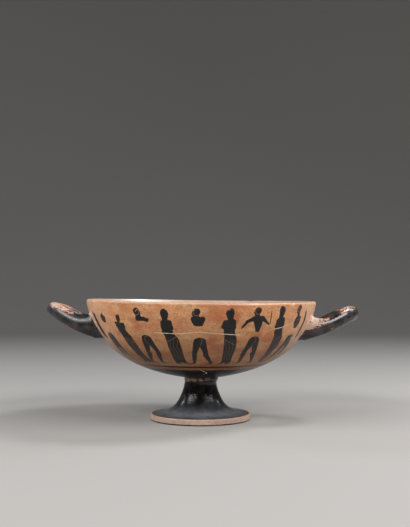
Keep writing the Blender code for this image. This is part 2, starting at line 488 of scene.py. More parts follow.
@dataclass(frozen=True)
class Finish:
    """Red-burning terracotta, wheel-thrown and burnished, with black gloss slip laid on by brush.

    The eye sees warm mottled clay with a soft sheen, and a thin blue-black coat that turns brown where it
    is thin and has flaked where hands and stacking rubbed it.
    """

    name: str
    clay: str = "#C58A5E"
    blush: str = "#A9603A"
    buff: str = "#D6AC80"
    stain: str = "#86563B"
    speck: str = "#5A3626"
    black: str = "#121213"
    thin: str = "#4A2A1B"
    bloom: str = "#3A3D41"
    clay_roughness: float = 0.40
    slip_roughness: float = 0.26
    patchy: float = 0.22  # how far clouds of wear move the roughness, up and down together
    ior: float = 1.5
    edge_wander: float = 0.5  # mm that the brush strays to either side
    edge_blur: float = 0.10  # mm
    loss_start: float = 0.27
    loss_reach: float = 0.30
    thin_reach: float = 0.075
    flake_edge: float = 0.008
    feather: float = 0.9  # mm over which the slip thins towards its edge
    slip_depth: float = 0.020  # mm
    grain_depth: float = 0.020  # mm
    dent_depth: float = 0.11  # mm
    ring_depth: float = 0.10  # mm, of the wheel's rings
    ring_pitch: float = 0.55  # rings in each mm along the profile
    drawn: tuple[float, float, float] = (1.0, 1.0, 1.0)  # how much denser clouds are along x, y, z
    bands: tuple[Point, ...] = ()  # painted stretches of the profile
    red_clouds: Mottle = Mottle(34.0, 4.0, 0.5, 0.46, 0.68, 0.85)
    buff_clouds: Mottle = Mottle(11.0, 6.0, 0.65, 0.46, 0.72, 0.95)
    stains: Mottle = Mottle(5.5, 7.0, 0.72, 0.48, 0.70, 0.85)
    grits: Mottle = Mottle(1.7, 2.0, 0.5, 0.67, 0.73, 0.8)
    grey_clouds: Mottle = Mottle(8.0, 6.0, 0.6, 0.40, 0.72, 0.7)

    def material(self) -> bpy.types.Material:
        """Build the finish as a node material.

        Returns:
            The material.
        """
        nodes = Nodes(self.name)
        chafe = self.chafe(nodes)
        coat, thin = self.coat(nodes, self.slip_distance(nodes), chafe)
        colour = nodes.blend(coat, self.clay_colour(nodes), self.slip_colour(nodes, thin))
        roughness = nodes.mix(coat, self.clay_roughness, self.slip_roughness)
        roughness = nodes.maths("MULTIPLY_ADD", nodes.noise(6.0, 5.0), self.patchy, roughness)
        roughness = nodes.maths("SUBTRACT", roughness, self.patchy / 2)
        colour, height, roughness = self.damage(nodes, colour, self.relief(nodes, coat), roughness)
        normal = nodes.put("ShaderNodeBump", {"Height": height, "Distance": MM, "Strength": 1.0})
        surface = nodes.put("ShaderNodeBsdfPrincipled", {
            "Base Color": colour, "Roughness": roughness, "Normal": normal, "IOR": self.ior,
            "Metallic": 0.0,
        })
        nodes.put("ShaderNodeOutputMaterial", {"Surface": surface})
        return nodes.material

    def chafe(self, nodes: Nodes) -> Socket:
        """How far each spot is from losing its slip: flake-sized noise with grit-sized noise on it, less a
        threshold that rises with the painted wear.

        Args:
            nodes: the material's nodes.

        Returns:
            A value below zero where the slip is gone.
        """
        flakes = nodes.noise(5.0, 8.0, 0.62, nodes.stretched(self.drawn))
        both = nodes.mix(0.35, flakes, nodes.noise(1.2, 4.0))
        limit = nodes.maths("MULTIPLY_ADD", nodes.painted("wear"), self.loss_reach, self.loss_start)
        return nodes.maths("SUBTRACT", both, limit)

    def slip_distance(self, nodes: Nodes) -> Socket:
        """Signed distance in mm to the painted areas: the least of the painted field and of the distance to
        each band along the profile.

        Args:
            nodes: the material's nodes.

        Returns:
            The distance, below zero under slip, with a hand-painted waver.
        """
        nearest = nodes.painted("slip")
        along = nodes.painted("along")
        for start, end in self.bands:
            off = nodes.maths("ABSOLUTE", nodes.maths("SUBTRACT", along, (start + end) / 2))
            nearest = nodes.maths("MINIMUM", nearest, nodes.maths("SUBTRACT", off, (end - start) / 2))
        brush = nodes.maths("SUBTRACT", nodes.noise(4.0, 6.0, 0.7), 0.5)
        return nodes.maths("MULTIPLY_ADD", brush, 2 * self.edge_wander, nearest)

    def coat(self, nodes: Nodes, distance: Socket, chafe: Socket) -> tuple[Socket, Socket]:
        """Where slip lies, and where it lies thin.

        Args:
            nodes: the material's nodes.
            distance: signed distance to the painted areas.
            chafe: how far the slip is from being lost.

        Returns:
            The share of slip, and how thin it is.
        """
        laid = nodes.span(distance, -self.edge_blur, self.edge_blur, 1.0, 0.0)
        kept = nodes.span(chafe, -self.flake_edge, self.flake_edge, 0.0, 1.0)
        flaking = nodes.span(chafe, 0.0, self.thin_reach, 1.0, 0.0)
        thinned = nodes.span(distance, -self.feather, 0.0, 0.0, 0.55)
        return nodes.maths("MULTIPLY", laid, kept), nodes.maths("MAXIMUM", flaking, thinned)

    def clay_colour(self, nodes: Nodes) -> Socket:
        """Mottled clay: broad red blushes, buff clouds, brown stains, fine grain and a few dark grits.

        Args:
            nodes: the material's nodes.

        Returns:
            The clay's colour.
        """
        red = self.red_clouds
        broad = nodes.noise(red.size, red.detail, red.roughness, distortion=0.4)
        broad = nodes.maths("MULTIPLY_ADD", nodes.painted("blush"), 0.22, broad)
        colour = nodes.blend(nodes.span(broad, red.low, red.high, 0.0, red.share), self.clay, self.blush)
        drawn = nodes.stretched(self.drawn)
        colour = nodes.blend(nodes.mottle(self.buff_clouds, drawn), colour, self.buff)
        colour = nodes.blend(nodes.mottle(self.stains, drawn), colour, self.stain)
        grain = nodes.span(nodes.noise(1.1, 5.0, 0.7), 0.3, 0.7, 0.70, 1.26)
        return nodes.blend(nodes.mottle(self.grits), nodes.lightened(colour, grain), self.speck)

    def slip_colour(self, nodes: Nodes, thin: Socket) -> Socket:
        """Black slip with a grey bloom in clouds and dust where it settled, brown where it is thin. On the foot
        the dust and the bloom are partly a painted sheen.

        Args:
            nodes: the material's nodes.
            thin: how thin the slip is.

        Returns:
            The slip's colour.
        """
        dull = nodes.maths("ADD", nodes.mottle(self.grey_clouds), nodes.painted("dust"), use_clamp=True)
        return nodes.blend(thin, nodes.blend(dull, self.black, self.bloom), self.thin)

    def relief(self, nodes: Nodes, coat: Socket) -> Socket:
        """Height in mm: the slip's own thickness, grain, small dents, and the wheel's rings on the profile.

        Args:
            nodes: the material's nodes.
            coat: the share of slip.

        Returns:
            The height.
        """
        rings = nodes.put("ShaderNodeTexNoise", {
            "W": nodes.painted("along"), "Scale": self.ring_pitch, "Detail": 3.0,
        }, noise_dimensions="1D")
        height = nodes.maths("MULTIPLY", coat, self.slip_depth)
        grain, dents = nodes.noise(0.7, 3.0), nodes.noise(5.5, 3.0)
        layers = ((grain, self.grain_depth), (dents, self.dent_depth), (rings, self.ring_depth))
        for source, depth in layers:
            height = nodes.maths("MULTIPLY_ADD", source, depth, height)
        return height

    def damage(self, nodes: Nodes, colour: Socket, height: Socket,
               roughness: Socket) -> tuple[Socket, Socket, Socket]:
        """Harm on top of the painted surface; a plain piece has none, so all three stay as they are."""
        return colour, height, roughness


@dataclass(frozen=True)
class FriezeFinish(Finish):
    """The painted wall: figures in black slip, incised through to the clay, and old cracks filled pale.

    The eye sees black shapes of a dull sheen with fine tan lines in them, and a lip rubbed pale, with a
    near-white highlight painted on one stretch of it.
    """

    filling: str = "#D9BFA2"
    worn_lip_and_side_sheen: str = "#CDB6A6"
    lip_highlight: str = "#F6F0EA"
    crest: float = -1.6  # mm along the profile to the middle of the rubbed lip
    rubbed: Point = (1.4, 4.4)  # mm from there that the pale clay starts and stops fading
    rubbed_share: float = 0.6
    shaded: Point = (1.2, 4.0)  # mm from there that the shade on the crest starts and stops fading
    shade: float = 0.74
    low_shade_span: Point = (24.0, 66.0)  # mm down the wall over which painted shade darkens the clay
    low_shade_tone: Point = (1.04, 0.64)
    cut: Point = (0.08, 0.24)  # mm from an incised line's middle that it starts and stops fading
    cut_share: float = 0.75
    crease: Point = (0.03, 0.09)  # the same for a robe's folds, as a share of a fold
    crease_share: float = 0.45
    rim: Point = (-0.75, -0.45)  # mm inside a figure's edge where incised lines end
    rim_share: float = 0.8
    plaster_low: float = 0.10  # mm
    plaster_roughness: float = 0.75

    def clay_colour(self, nodes: Nodes) -> Socket:
        """Mottled clay, rubbed pale on the lip, with a painted sheen on the sides by the handles, a painted
        near-white highlight on one stretch of the lip, painted shade on the lip's crest, and painted shade that
        darkens it towards the foot.

        Args:
            nodes: the material's nodes.

        Returns:
            The clay's colour.
        """
        clay = super().clay_colour(nodes)
        along = nodes.painted("along")
        off = nodes.maths("ABSOLUTE", nodes.maths("SUBTRACT", along, self.crest))
        # Rubbed clay on the lip, and a painted sheen on the sides from the 'pale' field, in one pale tint; the
        # painted highlight goes over both
        lip = nodes.maths("MAXIMUM", nodes.span(off, *self.rubbed, self.rubbed_share, 0.0), nodes.painted("pale"))
        lip_highlight = nodes.painted("lip_highlight")
        clay = nodes.blend(lip_highlight, nodes.blend(lip, clay, self.worn_lip_and_side_sheen), self.lip_highlight)
        # Painted shade on the lip's crest, left off under the painted highlight.
        crest_shade_painted = nodes.maths("MAXIMUM", nodes.span(off, *self.shaded, self.shade, 1.0), lip_highlight)
        # Painted shade that darkens the clay down towards the foot, times the painted shade on the crest.
        tone = nodes.maths("MULTIPLY", nodes.span(along, *self.low_shade_span, *self.low_shade_tone), crest_shade_painted)
        return nodes.lightened(clay, tone)

    def coat(self, nodes: Nodes, distance: Socket, chafe: Socket) -> tuple[Socket, Socket]:
        """Slip with thin painted strokes added and incised lines scratched out of it.

        Args:
            nodes: the material's nodes.
            distance: signed distance to the painted areas.
            chafe: how far the slip is from being lost.

        Returns:
            The share of slip, and how thin it is.
        """
        stroke = nodes.maths("SUBTRACT", nodes.maths("ABSOLUTE", nodes.painted("stroke")), LINE)
        coat, thin = super().coat(nodes, nodes.maths("MINIMUM", distance, stroke), chafe)
        cut = nodes.span(nodes.maths("ABSOLUTE", nodes.painted("cut")), *self.cut, self.cut_share, 0.0)
        fold = nodes.maths("PINGPONG", nodes.painted("fold"), 0.5)
        fold = nodes.span(fold, *self.crease, self.crease_share, 0.0)
        line = nodes.maths("MAXIMUM", cut, nodes.maths("MULTIPLY", fold, nodes.painted("folded")))
        within = nodes.span(distance, *self.rim, self.rim_share, 0.0)
        left = nodes.maths("SUBTRACT", 1.0, nodes.maths("MULTIPLY", line, within))
        return nodes.maths("MULTIPLY", coat, left), thin

    def damage(self, nodes: Nodes, colour: Socket, height: Socket,
               roughness: Socket) -> tuple[Socket, Socket, Socket]:
        """Fill the mended cracks with pale plaster that stands a little low.

        Args:
            nodes: the material's nodes.
            colour: the painted surface's colour.
            height: its height in mm.
            roughness: its roughness.

        Returns:
            Colour, height and roughness with the cracks in them.
        """
        crack = nodes.maths("ABSOLUTE", nodes.painted("crack"))
        crack = nodes.maths("MULTIPLY_ADD", nodes.noise(2.0, 4.0), 2 * LINE, crack)
        filled = nodes.span(crack, 0.72, 0.92, 1.0, 0.0)
        colour = nodes.blend(filled, colour, self.filling)
        height = nodes.maths("MULTIPLY_ADD", filled, -self.plaster_low, height)
        return colour, height, nodes.mix(filled, roughness, self.plaster_roughness)


class Dress(Enum):
    """How a painted figure is clothed."""

    NUDE = "nude"
    DRAPED = "draped"


@dataclass(frozen=True)
class Figure:
    """One painted figure, in mm right of its own middle and above the ground line."""

    azimuth: float
    dress: Dress
    look: int
    head: Point
    shoulders: tuple[Point, Point]
    waist: float
    hips: float
    arms: tuple[tuple[Point, Point], tuple[Point, Point]]
    legs: tuple[tuple[Point, Point], tuple[Point, Point]]
    lost: Point | None = None  # bare band across the body, where the paint came off
    rubbed: Point = (0.25, 0.12)  # wear of the head and of the body
    girth: float = 2.0  # half the waist

    def mirrored(self) -> "Figure":
        """The same figure facing the other way.

        Returns:
            The mirrored figure.
        """
        def flip(spot: Point) -> Point:
            """A place on the other side of the figure's middle."""
            return (-spot[0], spot[1])

        return replace(
            self, look=-self.look, head=flip(self.head),
            shoulders=(flip(self.shoulders[1]), flip(self.shoulders[0])),
            waist=-self.waist, hips=-self.hips,
            arms=tuple(tuple(flip(spot) for spot in arm) for arm in self.arms[::-1]),
            legs=tuple(tuple(flip(spot) for spot in leg) for leg in self.legs[::-1]),
        )

    def head_parts(self, x: Array, y: Array) -> tuple[Array, Array]:
        """The head and neck, and the edge of the hair, which falls to the shoulders over a robe.

        Args:
            x: mm right of the figure's middle.
            y: mm above the ground line.

        Returns:
            Signed distances to the paint and to the hair.
        """
        def at(ahead: float, up: float) -> Point:
            """A spot this far ahead of the head's middle, and above it."""
            return (self.head[0] + ahead * self.look, self.head[1] + up)

        (lx, ly), (rx, ry) = self.shoulders
        middle = ((lx + rx) / 2, (ly + ry) / 2)
        neck = stroke_distance(x, y, (at(-0.3, -2.2), middle), (1.5, 2.0))
        skull = oval_distance(x, y, self.head, (2.7, 3.3))
        nose = stroke_distance(x, y, (at(1.6, 0.1), at(2.7, -0.6)), (0.8, 0.45))
        chin = stroke_distance(x, y, (at(0.2, -2.0), at(1.4, -2.7)), (1.5, 0.9))
        head = soft_union(soft_union(skull, nose, 1.0), chin, 1.2)
        if self.dress is Dress.DRAPED:
            nape = (middle[0] - 1.4 * self.look, middle[1] + 0.4)
            locks = stroke_distance(x, y, (at(-2.0, -0.5), nape), (1.7, 1.3))
            hair = soft_union(oval_distance(x, y, at(-1.2, 0.8), (2.6, 3.2)), locks, 1.2)
        else:
            knot = oval_distance(x, y, at(-2.5, 1.3), (1.3, 1.2))
            hair = soft_union(oval_distance(x, y, at(-1.0, 1.0), (2.8, 3.0)), knot, 0.8)
        return soft_union(soft_union(head, neck, 1.0), hair, 0.4), hair

    def arm_parts(self, x: Array, y: Array) -> Array:
        """Draw both arms, each an upper and a lower stroke.

        Args:
            x: mm right of the figure's middle.
            y: mm above the ground line.

        Returns:
            The signed distance to the nearer one.
        """
        arms = np.full(np.shape(x), FAR)
        for shoulder, (elbow, hand) in zip(self.shoulders, self.arms):
            upper = stroke_distance(x, y, (shoulder, elbow), (1.9, 1.4))
            lower = stroke_distance(x, y, (elbow, hand), (1.35, 0.8))
            arms = np.minimum(arms, soft_union(upper, lower, 0.8))
        return arms

    def leg_parts(self, x: Array, y: Array) -> list[Array]:
        """Draw each leg: thigh, calf, shin and foot.

        Args:
            x: mm right of the figure's middle.
            y: mm above the ground line.

        Returns:
            The signed distances to the left and the right one.
        """
        both = []
        for side, (knee, ankle) in zip((-1, 1), self.legs):
            thigh = stroke_distance(x, y, ((self.hips + 1.5 * side, 31.5), knee), (3.4, 2.1))
            calf = stroke_distance(x, y, ((knee[0], knee[1] - 3.5), ankle), (2.2, 0.9))
            shin = soft_union(stroke_distance(x, y, (knee, ankle), (1.8, 0.85)), calf, 0.8)
            foot = stroke_distance(x, y, (ankle, (ankle[0] + 3.4 * self.look, 0.7)), (0.9, 0.55))
            both.append(soft_union(soft_union(thigh, shin, 1.0), foot, 0.6))
        return both

    def bare(self, x: Array, y: Array, body: Array) -> Array:
        """Take a band off a body: its lower edge arches down and its upper edge up, by the square of the
        distance from the hips and from the waist.

        Args:
            x: mm right of the figure's middle.
            y: mm above the ground line.
            body: signed distance to the body.

        Returns:
            What is left of the body.
        """
        if self.lost is None:
            return body
        bow = 0.09 if self.dress is Dress.NUDE else -0.01
        low = self.lost[0] - bow * (x - self.hips) ** 2
        high = self.lost[1] + 0.6 * bow * (x - self.waist) ** 2
        return np.maximum(body, np.minimum(y - low, high - y))

    def nude(self, x: Array, y: Array) -> tuple[Array, Array]:
        """Draw the chest, legs and arms of a nude figure, with its bare band.

        Args:
            x: mm right of the figure's middle.
            y: mm above the ground line.

        Returns:
            Signed distances to the body, and to the leg whose incised edge crosses the other.
        """
        (lx, ly), (rx, ry) = self.shoulders
        outline = [(lx, ly), ((lx + rx) / 2, (ly + ry) / 2 + 1.0), (rx, ry),
                   (self.waist + self.girth, 40.0), (self.hips + 2.4, 33.0),
                   (self.hips - 2.4, 33.0), (self.waist - self.girth, 40.0)]
        chest = panel_distance(x, y, outline, 1.1)
        left, right = self.leg_parts(x, y)
        seat = oval_distance(x, y, (self.hips, 32.2), (3.7, 3.4))
        lower = soft_union(soft_union(left, right, 0.7), seat, 1.5)
        body = self.bare(x, y, soft_union(chest, lower, 1.5))
        arms = self.arm_parts(x, y)
        return soft_union(body, arms, 1.0), right if self.look > 0 else left

    def robe(self, x: Array, y: Array) -> tuple[Array, Array]:
        """Draw a long robe with both feet under it, and its mantle.

        Args:
            x: mm right of the figure's middle.
            y: mm above the ground line.

        Returns:
            Signed distances to the robe, and to the slanting incised edge of the mantle.
        """
        (lx, ly), (rx, ry) = self.shoulders
        left, right = self.hem()
        hips, waist = self.hips, self.waist
        bodice = panel_distance(x, y, [(lx, ly), (rx, ry), (waist + 3.2, 39.0), (waist - 3.0, 39.0)], 1.3)
        outline = [(waist - 2.8, 40.0), (waist + 3.0, 40.0), (hips + 4.4, 33.0), (hips + 5.2, 24.0),
                   (right - 0.4, 9.0), (right + 0.2, 4.2), (left + 0.6, 3.4), (left, 9.0),
                   (hips * 0.6 + left * 0.4 - 2.4, 22.0), (hips - 4.2, 32.0)]
        skirt = panel_distance(x, y, outline, 0.9)
        arms = self.arm_parts(x, y)
        body = self.bare(x, y, soft_union(soft_union(bodice, skirt, 1.6), arms, 1.6))
        for _, ankle in self.legs:
            toe = (ankle[0] + 3.2 * self.look, 0.7)
            body = np.minimum(body, stroke_distance(x, y, ((ankle[0], 2.6), toe), (1.1, 0.55)))
        drop = (35.5, 27.0)[::self.look]
        mantle = panel_distance(x, y, [(lx - 6, 75.0), (rx + 6, 75.0), (waist + 7, drop[0]),
                                       (waist - 7, drop[1])], 0.3)
        return body, np.minimum(mantle, arms)

    def hem(self) -> Point:
        """The left and right ends of a robe's hem."""
        return self.legs[0][1][0] - 0.8, self.legs[1][1][0] + 0.8

    def folds(self, x: Array, y: Array) -> Array:
        """Place across the robe in folds: its share of the width at that height, times the folds, with a
        slow wave down the cloth.

        Args:
            x: mm right of the figure's middle.
            y: mm above the ground line.

        Returns:
            The number of folds to the left of each place.
        """
        share = np.clip((y - 3.2) / 26.8, 0, 1)
        left, right = self.hem()
        left = left * (1 - share) + (self.hips - 6.0) * share
        right = right * (1 - share) + (self.hips + 6.4) * share
        return (x - left) / (right - left) * 4.0 + 0.25 * np.sin(y * 0.45 + self.azimuth)

    def draw(self, x: Array, y: Array) -> dict[str, Array]:
        """Work out the whole figure.

        Args:
            x: mm right of the figure's middle.
            y: mm above the ground line.

        Returns:
            The paint's signed distance, the incised edges, the folds and where they are, and the wear.
        """
        head, hair = self.head_parts(x, y)
        draped = self.dress is Dress.DRAPED
        body, cut = self.robe(x, y) if draped else self.nude(x, y)
        upper = smooth((y - 51.0) / 3.0)
        face = smooth((hair + 0.1) / 0.5) * smooth((y - self.head[1] + 4.2) / 1.5)
        return {
            "slip": np.minimum(head, body),
            "cut": np.minimum(cut, hair),
            "fold": self.folds(x, y),
            "folded": draped * smooth((33.0 - y) / 1.5) * smooth((y - 6.5) / 2.0),
            "wear": self.rubbed[1] * (1 - upper) + (self.rubbed[0] + 0.25 * face) * upper,
        }


# Tendrils by the handles' roots and the dancer's staff: half width, then azimuth and height of points.
STROKES = (
    (2.8, (-66.2, 53.0), (-64.7, 43.7), (-63.2, 32.0)),
    (1.6, (60.4, 55.8), (61.4, 48.6), (60.8, 41.2), (61.2, 33.0)),
    (1.2, (68.6, 47.0), (68.0, 40.5)),
    (0.45, (33.6, 56.8), (33.9, 47.4)),
    (1.0, (112.0, 54.0), (113.2, 44.0), (115.0, 31.0)),
    (1.0, (248.0, 53.0), (246.6, 43.0), (245.0, 30.0)),
)
# Old breaks, mended and filled.
CRACKS = (
    (0.45, (-23.0, 38.6), (-12.8, 38.0), (-0.6, 39.8), (11.4, 38.0), (19.1, 37.0)),
    (0.45, (38.1, 41.9), (42.0, 43.0), (46.2, 45.3)),
    (0.45, (55.8, 32.7), (60.2, 20.1), (60.4, 5.0)),
    (0.45, (0.0, -14.0), (3.0, -18.0), (6.5, -22.0), (3.5, -25.0)),
    (0.45, (168.0, 60.0), (172.0, 44.0), (181.0, 30.0), (183.0, 12.0)),
    (0.45, (205.0, 36.0), (214.0, 33.0), (226.0, 37.0)),
)

# Where the fire reddened the clay: azimuth, height and radius in mm.
BLUSHES = (
    (20.5, 50.0, 9.0), (-33.0, 44.0, 4.0), (-47.0, 35.0, 6.0), (-9.0, 46.0, 8.0), (5.0, 30.0, 9.0),
    (30.0, 31.0, 8.0), (47.0, 22.0, 8.0), (-22.0, 12.0, 9.0), (140.0, 40.0, 12.0), (195.0, 46.0, 10.0),
    (221.0, 25.0, 12.0),
)


@dataclass
class Frieze:
    """Figures in a row round the bowl, walking, standing and dancing between the handles."""

    half_window: float = 20.0  # how far a figure reaches from its middle
    ground: float = 64.7  # mm down the wall from the lip's crest to the ground line
    back_start: float = 124.0
    back_step: float = 14.0
    back_order: tuple[int, ...] = (4, 1, 6, 3, 8, 5, 2, 7, 0)
    front: tuple[Figure, ...] = (
        Figure(-56.0, Dress.NUDE, 1, (-0.8, 56.6), ((-1.6, 50.0), (2.6, 49.6)), 1.4, 1.0,
               (((-1.6, 48.4), (-1.0, 47.5)), ((2.8, 47.8), (2.6, 46.8))),
               (((-3.0, 19.0), (-7.6, 3.0)), ((3.0, 18.5), (1.6, 2.0))), (36.5, 45.4), (0.85, 0.35), 1.0),
        Figure(-42.0, Dress.DRAPED, -1, (-3.0, 56.4), ((-6.0, 48.2), (1.6, 48.6)), -1.4, 1.4,
               (((-5.2, 43.8), (-3.0, 42.6)), ((2.6, 43.4), (0.6, 41.6))),
               (((0.0, 18.0), (0.4, 2.0)), ((5.0, 18.0), (5.2, 2.0))), (46.2, 55.4), (1.15, 0.22)),
        Figure(-29.5, Dress.NUDE, 1, (-1.2, 55.4), ((-2.2, 50.6), (4.2, 50.2)), 0.8, 1.2,
               (((-2.4, 50.0), (-2.2, 49.4)), ((6.4, 49.2), (7.6, 50.0))),
               (((-3.2, 19.0), (-7.4, 3.0)), ((5.6, 20.0), (2.4, 2.6))), (36.0, 48.4), (0.02, 0.12), 1.4),
        Figure(-15.5, Dress.DRAPED, 1, (-1.6, 55.2), ((-4.0, 47.8), (1.4, 47.8)), -1.4, 1.4,
               (((-4.6, 43.6), (-2.4, 42.8)), ((2.8, 43.2), (0.4, 41.4))),
               (((0.0, 18.0), (-1.0, 2.0)), ((6.0, 18.0), (5.6, 2.0))), rubbed=(0.10, 0.16)),
        Figure(-1.3, Dress.NUDE, -1, (-2.3, 55.8), ((-4.2, 51.0), (3.6, 51.2)), 0.0, 0.8,
               (((-3.8, 49.0), (-2.0, 47.4)), ((3.0, 49.0), (1.6, 47.4))),
               (((-3.6, 18.0), (-3.9, 2.2)), ((5.2, 18.0), (9.6, 2.2))), (34.6, 44.8), (0.12, 0.12), 1.2),
        Figure(13.8, Dress.DRAPED, -1, (-2.2, 56.2), ((-4.8, 48.6), (1.6, 49.2)), -0.8, 1.2,
               (((-6.6, 44.8), (-3.2, 42.4)), ((2.8, 44.0), (-0.6, 42.0))),
               (((0.2, 18.0), (0.4, 2.0)), ((4.6, 18.0), (5.6, 2.0))), rubbed=(0.05, 0.10)),
        Figure(27.5, Dress.NUDE, -1, (-3.0, 57.2), ((-5.0, 51.8), (2.6, 52.2)), 0.6, 0.2,
               (((-10.6, 49.0), (-14.0, 43.6)), ((5.6, 49.8), (9.8, 46.6))),
               (((-3.6, 19.6), (-1.6, 2.2)), ((5.2, 19.6), (10.0, 2.4))), (35.4, 39.6), (0.10, 0.05), 0.7),
        Figure(42.5, Dress.DRAPED, 1, (-3.6, 58.0), ((-6.6, 49.4), (-1.2, 50.2)), -2.4, 0.8,
               (((-7.2, 44.4), (-4.6, 42.4)), ((0.4, 45.2), (-3.0, 43.2))),
               (((1.0, 18.0), (1.6, 2.0)), ((4.6, 18.0), (4.2, 2.0))), rubbed=(-0.15, 0.05)),
        Figure(54.0, Dress.NUDE, -1, (-2.6, 58.4), ((-3.0, 50.4), (1.6, 51.0)), -0.6, -0.4,
               (((-4.0, 47.2), (-3.4, 44.6)), ((2.6, 47.6), (2.6, 45.4))),
               (((-2.6, 19.0), (-2.0, 2.4)), ((5.0, 19.4), (8.6, 3.0))), (35.6, 41.6), (0.15, 0.30), 1.2),
    )

    def figures(self) -> list[Figure]:
        """Line up the figures round the whole bowl.

        Returns:
            The front row, then the same figures in another order, every second one mirrored, on the back.
        """
        row = list(self.front)
        for place, source in enumerate(self.back_order):
            figure = self.front[source]
            spot = self.back_start + self.back_step * place
            row.append(replace(figure.mirrored() if place % 2 else figure, azimuth=spot))
        return row

    def fields(self, azimuth: Array, radius: Array, down: Array) -> dict[str, Array]:
        """Draw every figure over the wall; where two meet, the nearer one gives the inner lines.

        Args:
            azimuth: degrees from the front.
            radius: mm from the axis.
            down: mm down the wall from the lip's crest.

        Returns:
            The fields that the finish reads.
        """
        made = {key: np.full(azimuth.shape, FAR) for key in ("slip", "cut", "stroke", "crack")}
        made |= {key: np.zeros(azimuth.shape) for key in ("fold", "folded", "wear")}
        height = self.ground - down
        for figure in self.figures():
            across = np.radians(turn_from(azimuth, figure.azimuth)) * radius
            near = (np.abs(across) < self.half_window) & (height > -6) & (height < 66)
            drawn = figure.draw(across[near], height[near])
            nearer = drawn["slip"] < made["slip"][near]
            for key, values in drawn.items():
                made[key][near] = np.where(nearer, values, made[key][near])
        made["stroke"] = self.thin_lines(azimuth, radius, height, STROKES)
        made["crack"] = self.thin_lines(azimuth, radius, height, CRACKS)
        made["blush"] = self.blushes(azimuth, radius, height)
        # The 'pale' field: a painted sheen on the wall's two sides, by the handles.
        made["pale"] = 0.34 * smooth((np.abs(np.sin(np.radians(azimuth))) - 0.72) / 0.25)
        return made

    def blushes(self, azimuth: Array, radius: Array, height: Array) -> Array:
        """How red the fire made the clay: bells round the reddened spots, added up.

        Args:
            azimuth: degrees from the front.
            radius: mm from the axis.
            height: mm above the ground line.

        Returns:
            The redness, 1 in the middle of a spot.
        """
        red = np.zeros(azimuth.shape)
        for middle, level, size in BLUSHES:
            across = np.radians(turn_from(azimuth, middle)) * radius
            red += np.exp(-((across / size) ** 2) - ((height - level) / size) ** 2)
        return red

    def thin_lines(self, azimuth: Array, radius: Array, height: Array, lines: tuple) -> Array:
        """Distance to the nearest of some thin lines, signed by the side that it lies on, so that a line
        narrower than the mesh's squares still has a sharp zero along its middle.

        Args:
            azimuth: degrees from the front.
            radius: mm from the axis.
            height: mm above the ground line.
            lines: for each line, its half width, and the azimuth and height of its points.

        Returns:
            The signed distances in mm, scaled so that every line is 0.45 mm to either side.
        """
        best = np.full(azimuth.shape, FAR)
        for half, *line in lines:
            for (a0, y0), (a1, y1) in zip(line, line[1:]):
                x = np.radians(turn_from(azimuth, a0)) * radius
                run_x, run_y = np.radians(a1 - a0) * radius, y1 - y0
                length = np.hypot(run_x, run_y)
                share = (x * run_x + (height - y0) * run_y) / length**2
                beyond = (share - np.clip(share, 0, 1)) * length
                side = (x * run_y - (height - y0) * run_x) / length
                reach = np.copysign(np.hypot(side, beyond), side) * LINE / half
                best = np.where(np.abs(reach) < np.abs(best), reach, best)
        return best


WALL_SAMPLES = 600
OFF_WALL = 1000.0  # mm down the wall, where no figure reaches
# Chips off the lip: azimuth, mm down from the crest, half width and depth in mm.
LIP_CHIPS = (
    (47.0, 1.2, 2.6, 0.7), (-18.0, 0.8, 1.8, 0.45), (12.0, 1.6, 1.5, 0.4), (-52.0, 0.2, 2.2, 0.5),
    (76.0, 1.0, 1.8, 0.5), (151.0, 0.6, 3.2, 0.8), (203.0, 1.4, 2.0, 0.5), (232.0, 0.4, 1.7, 0.5),
    (298.0, 0.9, 2.2, 0.6),
)


def turned(line: Array, counts: Array, seam: float) -> tuple[list[Array], Array]:
    """Spin a section round the axis: radius r at azimuth a lies at r times sin a, less r times cos a.

    Args:
        line: the section's points as (radius, height).
        counts: how many points each ring gets.
        seam: azimuth in degrees where each ring starts.

    Returns:
        The rings, and the azimuths of all their points in degrees.
    """
    turns = [np.radians(seam + 360.0 * np.arange(n) / n) for n in counts]
    rings = [np.stack([r * np.sin(turn), -r * np.cos(turn), np.full(len(turn), z)], axis=1)
             for (r, z), turn in zip(line, turns)]
    return rings, np.degrees(np.concatenate(turns))


def spread_out(along: Array, weight: Array) -> Array:
    """Places up the texture, from 0 to 1, with more room where the profile's weight is higher."""
    reach = np.concatenate([[0.0], np.cumsum(weight * np.diff(along))])
    return reach / reach[-1]


def chip(points: Array, azimuth: Array, along: Array, chips: tuple, radius: float, push: Point,
         squash: float = 1.0) -> Array:
    """Knock small chips off an edge: inside each, a point sinks by the depth times one less the square of
    its distance from the chip's middle over the chip's half width.

    Args:
        points: the piece's points.
        azimuth: their azimuths in degrees.
        along: their distances along the profile from the edge.
        chips: for each chip, azimuth, distance from the edge, half width and depth.
        radius: the edge's radius.
        push: how much of the sinking goes down, and how much goes inwards.
        squash: how many times a chip is wider than it is high.

    Returns:
        The points with the chips taken off.
    """
    moved = points.copy()
    for middle, place, half, depth in chips:
        across = np.radians(turn_from(azimuth, middle)) * radius
        sink = depth * np.clip(1 - (np.hypot(across, (along - place) * squash) / half) ** 2, 0, 1)
        moved[:, 2] -= push[0] * sink
        moved[:, :2] *= (1 - push[1] * sink / radius)[:, None]
    return moved


